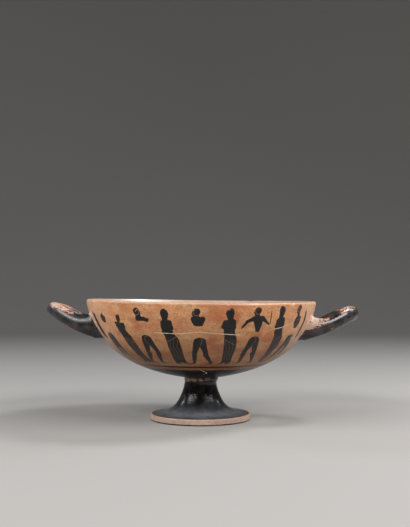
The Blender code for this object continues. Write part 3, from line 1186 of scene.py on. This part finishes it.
@dataclass
class Bowl:
    """The bowl: a wide shallow wall, its rounded lip and its floor, in mm."""

    rim_diameter: float = 205.0
    depth: float = 67.0
    stem_height: float = 37.3
    lip_thickness: float = 3.2
    floor_thickness: float = 5.0
    lip_lean: float = math.radians(9.7)
    floor_rise: float = math.radians(8.3)
    lip_pull: float = 0.383
    floor_pull: float = 0.735
    collar_diameter: float = 29.2
    fine: int = 840  # points round the painted wall
    coarse: int = 210  # and round the rest
    inner_rows: int = 50
    dish_rows: int = 10
    lip_steps: int = 14
    frieze_end: float = 76.0
    frieze_rows: int = 82
    low_rows: int = 15
    seam: float = 90.0  # azimuth of the texture's seam, under a handle
    least_wear: float = 0.12
    rub_wear: float = 0.75
    rub_reach: float = 6.0  # mm to either side of the crest
    joint_wear: float = 0.65
    joint_dust: float = 0.28
    highlight_middle: float = 217.0  # azimuth of the painted near-white highlight on the lip
    highlight_width: float = 15.0  # degrees to either side
    highlight_share: float = 0.95
    chip_radius: float = 101.0
    hands: Handwork = Handwork()
    frieze: Frieze = field(default_factory=Frieze)

    def wall(self, share: Array, face: float) -> Array:
        """A line down the wall: a Bezier curve from lip to collar, moved along its inward normal by a share
        of the wall's thickness, which grows evenly from the lip to the floor.

        Args:
            share: places down the wall, 0 at the lip and 1 at the collar.
            face: 0 for the outer face, 1 for the inner face.

        Returns:
            Points as (radius, height).
        """
        half = self.lip_thickness / 2
        radius, height = self.rim_diameter / 2, self.stem_height + self.depth
        lip = np.array([radius, height - half * (1 + math.sin(self.lip_lean))])
        base = np.array([self.collar_diameter / 2, self.stem_height])
        down = np.array([-math.sin(self.lip_lean), -math.cos(self.lip_lean)])
        out = np.array([math.cos(self.floor_rise), math.sin(self.floor_rise)])
        controls = [lip, lip + down * self.lip_pull * self.depth,
                    base + out * self.floor_pull * (radius - base[0]), base]
        points, tangents = bezier(np.array(controls), share)
        inward = np.stack([tangents[:, 1], -tangents[:, 0]], axis=1)
        thickness = self.lip_thickness + (self.floor_thickness - self.lip_thickness) * np.asarray(share)
        return points + inward * thickness[:, None] * face

    def even_shares(self, length: Array, face: float) -> Array:
        """Shares down the outer face (0) or the inner one (1) that lie at these distances from the lip."""
        share = np.linspace(0, 1, WALL_SAMPLES)
        return np.interp(length, arc_length(self.wall(share, face)), share)

    def outline(self) -> Array:
        """The outer wall from the collar up to the lip, finely cut, for what is fitted to it."""
        return self.wall(np.linspace(0, 1, 500), 0.0)[::-1]

    def profile(self) -> tuple[Array, Array, Array]:
        """The whole section from the middle of the floor, over the lip, to the collar and back to the axis.

        Returns:
            Its points as (radius, height), the distance from the lip's crest, below zero inside, and how
            many points each ring has.
        """
        whole = np.linspace(0, 1, WALL_SAMPLES)
        inner_end, outer_end = (arc_length(self.wall(whole, face))[-1] for face in (1.0, 0.0))
        inner = self.wall(self.even_shares(np.linspace(inner_end, 0, self.inner_rows), 1.0), 1.0)
        edge = inner[0]
        dish = np.linspace(0, 1, self.dish_rows + 1)[:-1]
        sink = math.tan(self.floor_rise) * edge[0] / 2
        floor = np.stack([edge[0] * dish, edge[1] - sink * (1 - dish**2)], axis=1)
        top_inner, top_outer = inner[-1], self.wall(np.zeros(1), 0.0)[0]
        lip = swing((top_inner + top_outer) / 2, top_inner, -math.pi, self.lip_steps)[1:-1]
        rows = np.concatenate([np.linspace(0, self.frieze_end, self.frieze_rows)[:-1],
                               np.linspace(self.frieze_end, outer_end, self.low_rows)])
        outer = self.wall(self.even_shares(rows, 0.0), 0.0)
        sunk = self.stem_height - 0.8
        line = np.concatenate([floor, inner, lip, outer, [[13.0, sunk], [0.0, sunk]]])
        crest = len(floor) + len(inner) + self.lip_steps // 2 - 1
        along = arc_length(line)
        counts = np.full(len(line), self.coarse)
        counts[crest:len(floor) + len(inner) + len(lip) + self.frieze_rows] = self.fine
        counts[[0, -1]] = 1
        return line, along - along[crest], counts

    def build(self) -> bpy.types.Object:
        """Turn the section into the bowl, paint it, wear its lip and its joint with the foot, chip it.

        Returns:
            The bowl.
        """
        line, along, counts = self.profile()
        rings, azimuth = turned(line, counts, self.seam)
        weight = np.where((along[1:] > 0) & (along[1:] < 80), 2.6, 1.0)
        shell = Shell(rings, spread_out(along, weight))
        radius = np.repeat(line[:, 0], counts)
        places = np.repeat(along, counts)
        shell.fields = self.frieze.fields(azimuth, radius, np.where(places > 0, places, OFF_WALL))
        rub = np.exp(-((places / self.rub_reach) ** 2))
        last = along[-3]
        joint = smooth((places - last + 3.5) / 3.0)
        highlight_turn = turn_from(azimuth, self.highlight_middle) / self.highlight_width
        shell.fields |= {
            "along": places,
            "wear": np.maximum(shell.fields["wear"], self.least_wear) + self.rub_wear * rub
            + self.joint_wear * joint,
            "dust": self.joint_dust * smooth((places - last + 22.0) / 12.0),
            # a painted near-white highlight on one stretch of the lip
            "lip_highlight": self.highlight_share * np.exp(-(highlight_turn**2) - (((places + 2.0) / 4.0) ** 4)),
        }
        chipped = chip(shell.points, azimuth, places, LIP_CHIPS, self.chip_radius, (1.0, 0.5), 1.3)
        shell.points = self.hands.settle(chipped)
        return shell.make("bowl", self.finish(along[0]).material())

    def finish(self, middle: float) -> FriezeFinish:
        """The bowl's paint: the frieze, the lines and black band over the stem, and the black inside with a
        bare lip and a small bare round with rings in the middle of the floor.

        Args:
            middle: distance along the profile from the lip's crest to the middle of the floor.

        Returns:
            The finish.
        """
        outside = ((69.4, 72.8), (74.6, 75.6), (78.0, 130.0))
        inside = ((middle + 17.0, -5.0), (middle + 12.6, middle + 13.4), (middle - 2.0, middle + 1.7))
        return FriezeFinish("burnished_terracotta_black_figure_slip", bands=outside + inside,
                            black="#0D0D0E", grey_clouds=replace(Finish.grey_clouds, share=0.2),
                            slip_roughness=0.32, ior=1.4, drawn=(1.0, 1.0, 2.2))


# Chips off the disc's upper edge: azimuth, mm down from the edge, half width and depth in mm.
DISC_CHIPS = (
    (-24.0, 1.0, 2.2, 0.35), (8.0, 2.6, 1.6, 0.25), (41.0, 0.6, 1.6, 0.3), (-61.0, 2.0, 2.0, 0.3),
    (133.0, 1.2, 2.4, 0.4), (214.0, 1.8, 2.0, 0.35),
)


@dataclass
class Foot:
    """The foot: collar, flaring stem, disc, resting ring and the hollow under it, in mm."""

    stem_height: float = 37.3
    collar_diameter: float = 29.2
    collar_height: float = 3.7
    collar_bulge: float = 0.6
    stem_diameter: float = 28.5
    stem_flare: float = math.radians(63.0)
    flare_diameter: float = 47.6
    flare_fillet: float = 20.0
    disc_diameter: float = 89.2
    disc_edge: float = 5.2
    disc_slope: float = math.radians(8.9)
    arris: float = 0.7
    ring_width: float = 7.6
    hollow_height: float = 27.0
    hollow_top_diameter: float = 10.0
    hollow_rise: float = math.radians(13.0)
    hollow_pull_out: float = 0.40
    hollow_pull_up: float = 0.55
    around: int = 288
    seam: float = 90.0  # azimuth of the texture's seam
    chip_radius: float = 45.0
    hands: Handwork = Handwork()

    def sections(self) -> dict[str, Array]:
        """The section's stretches in order from the axis inside the bowl's floor to the hollow's top.

        Returns:
            For each stretch, its points as (radius, height).
        """
        stem_r, disc_r, flare_r = self.stem_diameter / 2, self.disc_diameter / 2, self.flare_diameter / 2
        collar_r, top = self.collar_diameter / 2, self.stem_height
        stem_top = np.array([stem_r, top - self.collar_height])
        corner = np.array([flare_r, self.disc_edge + (disc_r - flare_r) * math.tan(self.disc_slope)])
        edge_top, edge_low = np.array([disc_r, self.disc_edge]), np.array([disc_r, 0.0])
        ring_inner = np.array([disc_r - self.ring_width, 0.0])
        bend = np.array([stem_r, corner[1] + (flare_r - stem_r) * math.tan(self.stem_flare)])
        tenon = top + 1.6  # how high the foot reaches into the bowl's floor
        plug = np.array([[0.0, tenon], [7.0, tenon], [collar_r - 0.6, tenon], [collar_r, tenon - 0.6]])
        share = np.linspace(0, 1, 13)
        bulge = self.collar_bulge * np.sin(math.pi * share)
        collar = np.stack([collar_r + (stem_r - collar_r) * share + bulge,
                           top - self.collar_height * share], axis=1)
        spread = fillet(bend, corner, edge_top, self.flare_fillet, 14)
        stem, _ = bezier(np.array([stem_top, bend, spread[0]]), np.linspace(0, 1, 30)[1:-1])
        upper = fillet(corner, edge_top, edge_low, self.arris, 6)
        disc = spread[-1] + (upper[0] - spread[-1]) * np.linspace(0, 1, 22)[1:-1, None]
        lower = fillet(edge_top, edge_low, ring_inner, self.arris, 6)
        edge = upper[-1] + (lower[0] - upper[-1]) * np.linspace(0, 1, 7)[1:-1, None]
        ring = lower[-1] + (ring_inner - lower[-1]) * np.linspace(0, 1, 8)[1:-1, None]
        dome_r = self.hollow_top_diameter / 2
        shoulder = np.array([dome_r, self.hollow_height - dome_r])
        inwards = np.array([-math.cos(self.hollow_rise), math.sin(self.hollow_rise)])
        shallow = ring_inner + inwards * self.hollow_pull_out * ring_inner[0]
        steep = shoulder - np.array([0.0, self.hollow_pull_up * self.hollow_height])
        hollow, _ = bezier(np.array([ring_inner, shallow, steep, shoulder]), np.linspace(0, 1, 40))
        dome = swing(np.array([0.0, shoulder[1]]), shoulder, math.pi / 2, 10)[1:]
        dome[-1, 0] = 0.0
        return {"plug": plug, "collar": collar, "stem": stem, "spread": spread, "disc": disc,
                "upper": upper, "edge": edge, "lower": lower, "ring": ring, "hollow": hollow, "dome": dome}

    def build(self) -> bpy.types.Object:
        """Turn the section into the foot, paint it, wear its collar and edge, chip it.

        Returns:
            The foot.
        """
        parts = self.sections()
        line = np.concatenate(list(parts.values()))
        ends = dict(zip(parts, np.cumsum([len(points) for points in parts.values()])))
        along = arc_length(line)
        along -= along[ends["plug"]]
        counts = np.full(len(line), self.around)
        counts[[0, -1]] = 1
        rings, azimuth = turned(line, counts, self.seam)
        weight = np.where(np.arange(len(line) - 1) < ends["ring"], 2.0, 1.0)
        shell = Shell(rings, spread_out(along, weight))
        places = np.repeat(along, counts)
        top_edge, low_edge, ring_end = (along[ends[name]] for name in ("disc", "edge", "ring"))
        collar = np.exp(-(((places - 1.4) / 2.7) ** 2))
        rim = np.exp(-(((places - top_edge) / 2.0) ** 2))
        worn_left = 0.75 - 0.25 * np.sin(np.radians(azimuth))
        # Dust that settled on the disc by the stem, and also a painted sheen there.
        dust_and_sheen = 0.45 * np.exp(-(((places - 38.0) / 8.0) ** 2)) + 0.08 * smooth((places - 22.0) / 14.0)
        shell.fields = {
            "along": places,
            "slip": np.full(len(places), FAR),
            "wear": 0.10 + worn_left * collar + 0.35 * rim,
            "dust": dust_and_sheen * (places < ring_end),
        }
        chipped = chip(shell.points, azimuth, places - top_edge, DISC_CHIPS, self.chip_radius, (0.0, 1.0))
        shell.points = self.hands.settle(chipped)
        return shell.make("foot", self.finish(top_edge, low_edge, ring_end).material())

    def finish(self, top_edge: float, low_edge: float, ring_end: float) -> Finish:
        """The foot's paint: glossy black over the stem and the disc, a line at the foot of the bare edge,
        and a black band in the hollow. Dust and a pale grey bloom, partly a painted sheen, grey the disc, and the
        bare clay is dull and brown.

        Args:
            top_edge: distance along the profile from the joint to the disc's upper edge.
            low_edge: the same to its lower edge.
            ring_end: the same to the inner border of the resting ring.

        Returns:
            The finish.
        """
        bands = ((-5.0, top_edge - 0.9), (low_edge - 0.5, low_edge + 0.9),
                 (ring_end + 3.0, ring_end + 26.0))
        # The pale bloom is partly a painted sheen on the stem and the disc.
        return Finish("gloss_slip_over_turned_terracotta_foot", bands=bands, clay="#AE9484",
                      blush="#A18070", buff="#BFA899", stain="#8A6E60", slip_roughness=0.20,
                      bloom="#767C85", grey_clouds=replace(Finish.grey_clouds, share=0.25),
                      thin_reach=0.16)


@dataclass
class Handle:
    """A hand-rolled rod bent into a loop and luted to the wall by both ends, in mm."""

    name: str
    side: int  # -1 on the left, 1 on the right
    root_drop: float  # from the lip down to the roots' middle
    tip_drop: float  # and down to the tip's
    turn: float  # roll about its own axis, in radians; below zero the near limb is the higher one
    stand_out: float  # from the rim to the tip
    bowl: Bowl
    worn_top: float = 0.75
    slip_roughness: float = 0.20
    reserve: float = 1.2  # bare clay round the root
    spacing: float = 57.0
    rod: float = 12.7
    root_width: float = 14.6
    root_height: float = 22.5
    root_flare: float = 24.0
    limb_pull: float = 0.60
    tip_pull: float = 0.60
    rise_delay: float = 1.5
    luting: float = 2.6  # radius of the clay smeared round the root
    rows: int = 64  # along each limb
    around: int = 72
    # Worn patches: share of the loop's length, degrees from the top, their reaches, and the wear added.
    patches: tuple[tuple[float, float, float, float, float], ...] = ()

    def wall_gap(self, points: Array) -> tuple[Array, Array]:
        """How far points are outside the bowl's outer wall, with the wall's outward direction there.

        Args:
            points: places in mm.

        Returns:
            Distances, and unit directions.
        """
        line = self.bowl.outline()
        slope = np.gradient(line[:, 0], line[:, 1])
        radius = np.hypot(points[:, 0], points[:, 1])
        wall = np.interp(points[:, 2], line[:, 1], line[:, 0])
        lean = np.interp(points[:, 2], line[:, 1], slope)
        size = np.sqrt(1 + lean**2)
        out = np.stack([points[:, 0] / radius, points[:, 1] / radius, -lean], axis=1) / size[:, None]
        return (radius - wall) / size, out

    def spine(self) -> dict[str, Array]:
        """The loop's middle line from its near limb to its far limb, with its sections.

        Seen from above it is a Bezier curve and its mirror image; its height rises by the smoothed share of
        its reach; its half sizes thin from root to rod by the square of what is left of the flare.

        Returns:
            Centres, directions along, across and upward, and half widths and heights.
        """
        height = self.bowl.stem_height + self.bowl.depth
        root_height = height - self.root_drop
        half = self.spacing / 2
        wall = self.bowl.outline()
        spring = math.sqrt(float(np.interp(root_height, wall[:, 1], wall[:, 0])) ** 2 - half**2)
        tip = self.bowl.rim_diameter / 2 + self.stand_out - self.rod / 2
        reach = tip - spring
        controls = np.array([[spring, -half], [spring + reach * self.limb_pull, -half],
                             [tip, -half * self.tip_pull], [tip, 0.0]])
        limb, _ = bezier(controls, np.linspace(0, 1, 200))
        inside = np.stack([np.linspace(spring - 22.0, spring, 80)[:-1], np.full(79, -half)], axis=1)
        near = np.concatenate([inside, limb])
        plan = np.concatenate([near, near[-2::-1] * [1, -1]])
        out = np.maximum(plan[:, 0] - spring, 0.0)
        lift = smooth((out / reach) ** self.rise_delay) * (self.root_drop - self.tip_drop)
        flare = np.maximum(1 - out / self.root_flare, 0.0) ** 2
        centre = np.stack([self.side * plan[:, 0], plan[:, 1] * math.cos(self.turn),
                           root_height + lift + plan[:, 1] * math.sin(self.turn)], axis=1)
        along = np.gradient(centre, axis=0)
        along /= np.linalg.norm(along, axis=1, keepdims=True)
        across = np.cross(along, [0.0, 0.0, 1.0])
        across /= np.linalg.norm(across, axis=1, keepdims=True)
        return {"centre": centre, "along": along, "across": across, "upward": np.cross(across, along),
                "half_width": (self.rod + (self.root_width - self.rod) * flare) / 2,
                "half_height": (self.rod + (self.root_height - self.rod) * flare) / 2}

    def lines(self) -> tuple[Array, Array, Array]:
        """The surface as lines running along the loop, each cut where it meets the wall.

        Returns:
            Points by row and line, the distance of each from the nearer root, and its angle from the top,
            with a quarter turn at the outside of the loop.
        """
        spine = self.spine()
        angle = 2 * np.pi * np.arange(self.around) / self.around
        lump = 1 + 0.018 * np.sin(3 * angle + 1) + 0.012 * np.cos(2 * angle)
        steps = np.linspace(0, 1, len(spine["centre"]))[:, None]
        knead = 1 + 0.016 * np.sin(13 * steps + 2 * np.cos(angle)) + 0.008 * np.sin(31 * steps + angle)
        wide = (spine["across"] * spine["half_width"][:, None])[:, None]
        tall = (spine["upward"] * spine["half_height"][:, None])[:, None]
        aside = (self.side * np.sin(angle) * lump * knead)[..., None] * wide
        rise = (np.cos(angle) * lump * knead)[..., None] * tall
        skin = spine["centre"][:, None] + aside + rise
        gap, _ = self.wall_gap(skin.reshape(-1, 3))
        gap = gap.reshape(skin.shape[:2])
        middle = len(skin) // 2
        column = np.arange(self.around)
        ease = np.linspace(0, 1, self.rows)[:, None] ** 1.35  # closer rows near the root
        rows = []
        for start, way in ((0, 1), (len(skin) - 1, -1)):
            step = np.arange(start, middle, way)
            crossing = step[np.argmax(gap[step] > 0, axis=0)]
            before = crossing - way
            inner, outer = gap[before, column], gap[crossing, column]
            cut = before + way * (inner / (inner - outer))
            rows.append(cut + (middle - cut) * ease)
        place = np.concatenate([rows[0], rows[1][-2::-1]])
        low = np.clip(np.floor(place).astype(int), 0, len(skin) - 2)
        part = (place - low)[..., None]
        points = skin[low, column] * (1 - part) + skin[low + 1, column] * part
        length = np.concatenate([np.zeros((1, self.around)),
                                 np.cumsum(np.linalg.norm(np.diff(points, axis=0), axis=2), axis=0)])
        from_root = np.minimum(length, length[-1] - length)
        return self.lute(points, from_root, spine, low), from_root, angle

    def lute(self, points: Array, from_root: Array, spine: dict[str, Array], low: Array) -> Array:
        """Smear clay round the root.

        A point closer to the wall than the luting's radius moves away from the limb by that radius less the
        height of a quarter circle, and back to its own distance from the wall.

        Args:
            points: the surface by row and line.
            from_root: distance of each point from the nearer root.
            spine: the loop's middle line and sections.
            low: each point's row on the spine.

        Returns:
            The points with the smear.
        """
        flat = points.reshape(-1, 3)
        gap = np.clip(self.wall_gap(flat)[0], 0, self.luting)
        outward = flat - spine["centre"][low].reshape(-1, 3)
        along = spine["along"][low].reshape(-1, 3)
        outward -= along * np.einsum("ij,ij->i", outward, along)[:, None]
        outward /= np.linalg.norm(outward, axis=1, keepdims=True)
        near = from_root.ravel() < 4 * self.luting
        bulge = self.luting - np.sqrt(np.maximum(self.luting**2 - (self.luting - gap) ** 2, 0))
        moved = flat + outward * (bulge * near)[:, None]
        for _ in range(3):  # the way back bends with the wall, so it takes a few steps
            now, out = self.wall_gap(moved)
            moved = moved + out * ((gap - now) * (near & (gap < self.luting)))[:, None]
        return moved.reshape(points.shape)

    def build(self) -> bpy.types.Object:
        """Close the loop's ends inside the wall, paint it and wear it.

        Returns:
            The handle.
        """
        points, from_root, angle = self.lines()
        ends = []
        for row in (points[0], points[-1]):
            _, out = self.wall_gap(row)
            sunk = row - out * 0.9
            ends.append((sunk.mean(0, keepdims=True) - out.mean(0) * 0.5, sunk))
        rings = [ends[0][0], ends[0][1], *points, ends[1][1], ends[1][0]]
        counts = np.array([len(ring) for ring in rings])
        shell = Shell(rings, np.linspace(0, 1, len(rings)))
        root = np.zeros((1, self.around))
        distance = np.concatenate([[0.0], np.concatenate([root - 1, from_root, root - 1]).ravel(), [0.0]])
        turn = np.concatenate([[0.0], np.tile(angle, len(rings) - 2), [0.0]])
        row = np.repeat(np.linspace(0, 1, len(rings)), counts)
        up = np.cos(turn)
        reserve = self.reserve * (1 + 0.5 * up)
        wear = 0.10 + self.worn_top * smooth((up - 0.35) / 0.5) * smooth((distance - 11.0) / 6.0)
        for place, at, width, spread, amount in self.patches:
            off = turn_from(np.degrees(turn), at)
            wear = wear + amount * np.exp(-((row - place) / width) ** 2 - (off / spread) ** 2)
        shell.fields = {"slip": reserve - distance, "along": distance, "wear": wear}
        shell.points = self.bowl.hands.settle(shell.points)
        # Thumbs wore the gloss thin, so its losses have broad brown borders.
        finish = Finish(f"gloss_slip_over_rolled_terracotta_{self.name}", clay="#BB9885",
                        blush="#AD8270", buff="#D2BBAD", stain="#7F5748", thin="#553226",
                        bloom="#4A4A4E", slip_roughness=self.slip_roughness, loss_start=0.26,
                        loss_reach=0.32, thin_reach=0.15, flake_edge=0.030, ring_depth=0.02,
                        drawn=(0.33, 1.0, 1.0))
        return shell.make(self.name, finish.material())


@dataclass(frozen=True)
class Lamp:
    """A soft box that faces the cup, in metres and watts."""

    name: str
    place: tuple[float, float, float]
    size: Point
    power: float
    colour: str

    def hang(self, aim: tuple[float, float, float]) -> None:
        """Hang the lamp and turn it.

        Args:
            aim: the spot that it faces.
        """
        lamp = bpy.data.lights.new(self.name, "AREA")
        lamp.shape = "RECTANGLE"
        lamp.size, lamp.size_y = self.size
        lamp.energy = self.power
        lamp.color = linear(self.colour)[:3]
        holder = bpy.data.objects.new(self.name, lamp)
        holder.location = self.place
        x, y, z = np.array(aim) - np.array(self.place)
        holder.rotation_euler = (math.atan2(float(np.hypot(x, y)), -z), 0.0, math.atan2(-x, y))
        bpy.context.scene.collection.objects.link(holder)


@dataclass
class Studio:
    """The camera of the photograph's angle, soft boxes and a pale round sweep, in metres and degrees."""

    camera_distance: float = 0.7747
    camera_height: float = 0.11544
    image_width: float = 410.0
    image_height: float = 527.0
    focal_pixels: float = 865.0
    axis_column: float = 201.35
    horizon_row: float = 289.0
    sensor: float = 36.0
    aim: tuple[float, float, float] = (0.0, 0.0, 0.07)
    lamps: tuple[Lamp, ...] = (
        Lamp("left_front", (-0.84, -0.70, 0.87), (1.00, 0.36), 16.8, "#FFFDFA"),
        Lamp("right_front", (0.80, -0.66, 0.85), (1.00, 0.36), 15.2, "#FFFDFA"),
        Lamp("over_back", (0.62, 0.12, 0.90), (0.25, 0.25), 6.0, "#FFFFFF"),
        Lamp("left_back", (-1.00, 0.40, 0.80), (0.30, 0.40), 4.0, "#F4F8FF"),
        Lamp("right_back", (1.00, 0.40, 0.80), (0.30, 0.40), 3.5, "#F4F8FF"),
    )
    ambient: str = "#C6CBD2"
    ambient_strength: float = 0.16
    paper: str = "#999795"
    floor_reach: float = 1.5
    bend: float = 1.2
    wall_top: float = 3.2
    around: int = 96

    def camera(self) -> None:
        """Aim the camera so that the cup's axis and the horizon fall where the photograph has them."""
        made = bpy.data.cameras.new("camera")
        made.sensor_width = self.sensor
        made.lens = self.focal_pixels * self.sensor / max(self.image_width, self.image_height)
        up = math.atan((self.horizon_row - self.image_height / 2) / self.focal_pixels)
        aside = math.atan((self.image_width / 2 - self.axis_column) / self.focal_pixels)
        holder = bpy.data.objects.new("camera", made)
        holder.location = (0.0, -self.camera_distance, self.camera_height)
        holder.rotation_euler = (math.pi / 2 + up, 0.0, -aside)
        bpy.context.scene.collection.objects.link(holder)
        bpy.context.scene.camera = holder

    def sweep(self) -> None:
        """Lay a round floor whose border curves up into a wall."""
        flat = np.linspace(0, self.floor_reach, 12)[1:]
        turn = swing(np.array([self.floor_reach, self.bend]), np.array([self.floor_reach, 0.0]),
                     math.pi / 2, 20)[1:]
        top = [[self.floor_reach + self.bend, self.wall_top]]
        line = np.concatenate([np.stack([flat, np.zeros(len(flat))], axis=1), turn, top])
        rings, _ = turned(line, np.full(len(line), self.around), 0.0)
        pairs = [(step, (step + 1) % self.around) for step in range(self.around)]
        faces = [(0, 1 + a, 1 + b) for a, b in pairs]
        for ring in range(len(rings) - 1):
            low = 1 + self.around * ring
            high = low + self.around
            faces += [(low + a, high + a, high + b, low + b) for a, b in pairs]
        mesh = bpy.data.meshes.new("sweep")
        mesh.from_pydata(np.concatenate([np.zeros((1, 3)), *rings]).tolist(), [], faces)
        mesh.shade_smooth()
        mesh.materials.append(self.matt_paper())
        floor = bpy.data.objects.new("sweep", mesh)
        bpy.context.scene.collection.objects.link(floor)

    def matt_paper(self) -> bpy.types.Material:
        """Matt backdrop paper, plain and pale, so that the eye sees only the cup and its soft shadow.

        Returns:
            The paper's material.
        """
        made = bpy.data.materials.new("matt_backdrop_paper")
        made.use_nodes = True
        shader = made.node_tree.nodes["Principled BSDF"]
        shader.inputs["Base Color"].default_value = linear(self.paper)
        shader.inputs["Roughness"].default_value = 0.9
        shader.inputs["Specular IOR Level"].default_value = 0.1
        return made

    def light(self) -> None:
        """Soft boxes high on each side of the camera, over the back and behind each handle, and a little
        light from all round.
        """
        world = bpy.data.worlds.new("studio")
        world.use_nodes = True
        around = world.node_tree.nodes["Background"].inputs
        around["Color"].default_value = linear(self.ambient)
        around["Strength"].default_value = self.ambient_strength
        bpy.context.scene.world = world
        for lamp in self.lamps:
            lamp.hang(self.aim)

    def build(self) -> None:
        """Set up the whole studio."""
        self.camera()
        self.light()
        self.sweep()
        bpy.context.scene.view_settings.view_transform = "Standard"


def main() -> None:
    """Build the studio and the cup's pieces in order."""
    logging.basicConfig(level=logging.INFO, format="%(message)s")
    Studio().build()
    bowl = Bowl()
    left_wear = ((0.17, 0.0, 0.02, 50.0, -0.8), (0.50, 110.0, 0.05, 40.0, 0.4),
                 (0.25, 140.0, 0.10, 30.0, 0.25))
    right_wear = ((0.06, 55.0, 0.13, 60.0, 0.85), (0.33, 5.0, 0.06, 40.0, 0.5),
                  (0.27, 150.0, 0.09, 35.0, 0.30), (0.44, 140.0, 0.05, 40.0, 0.45),
                  (0.24, 10.0, 0.03, 40.0, -0.5))
    pieces = [
        bowl,
        Foot(),
        Handle("left_handle", -1, 22.0, 9.9, math.radians(-2.0), 36.1, bowl, worn_top=0.78,
               slip_roughness=0.34, patches=left_wear),
        Handle("right_handle", 1, 23.5, 10.7, math.radians(-3.5), 38.9, bowl, worn_top=0.42,
               rod=13.3, patches=right_wear),
    ]
    for piece in pieces:
        made = piece.build()
        logging.info("%s: %d points, %d faces", made.name, len(made.data.vertices), len(made.data.polygons))


if __name__ == "__main__":
    main()
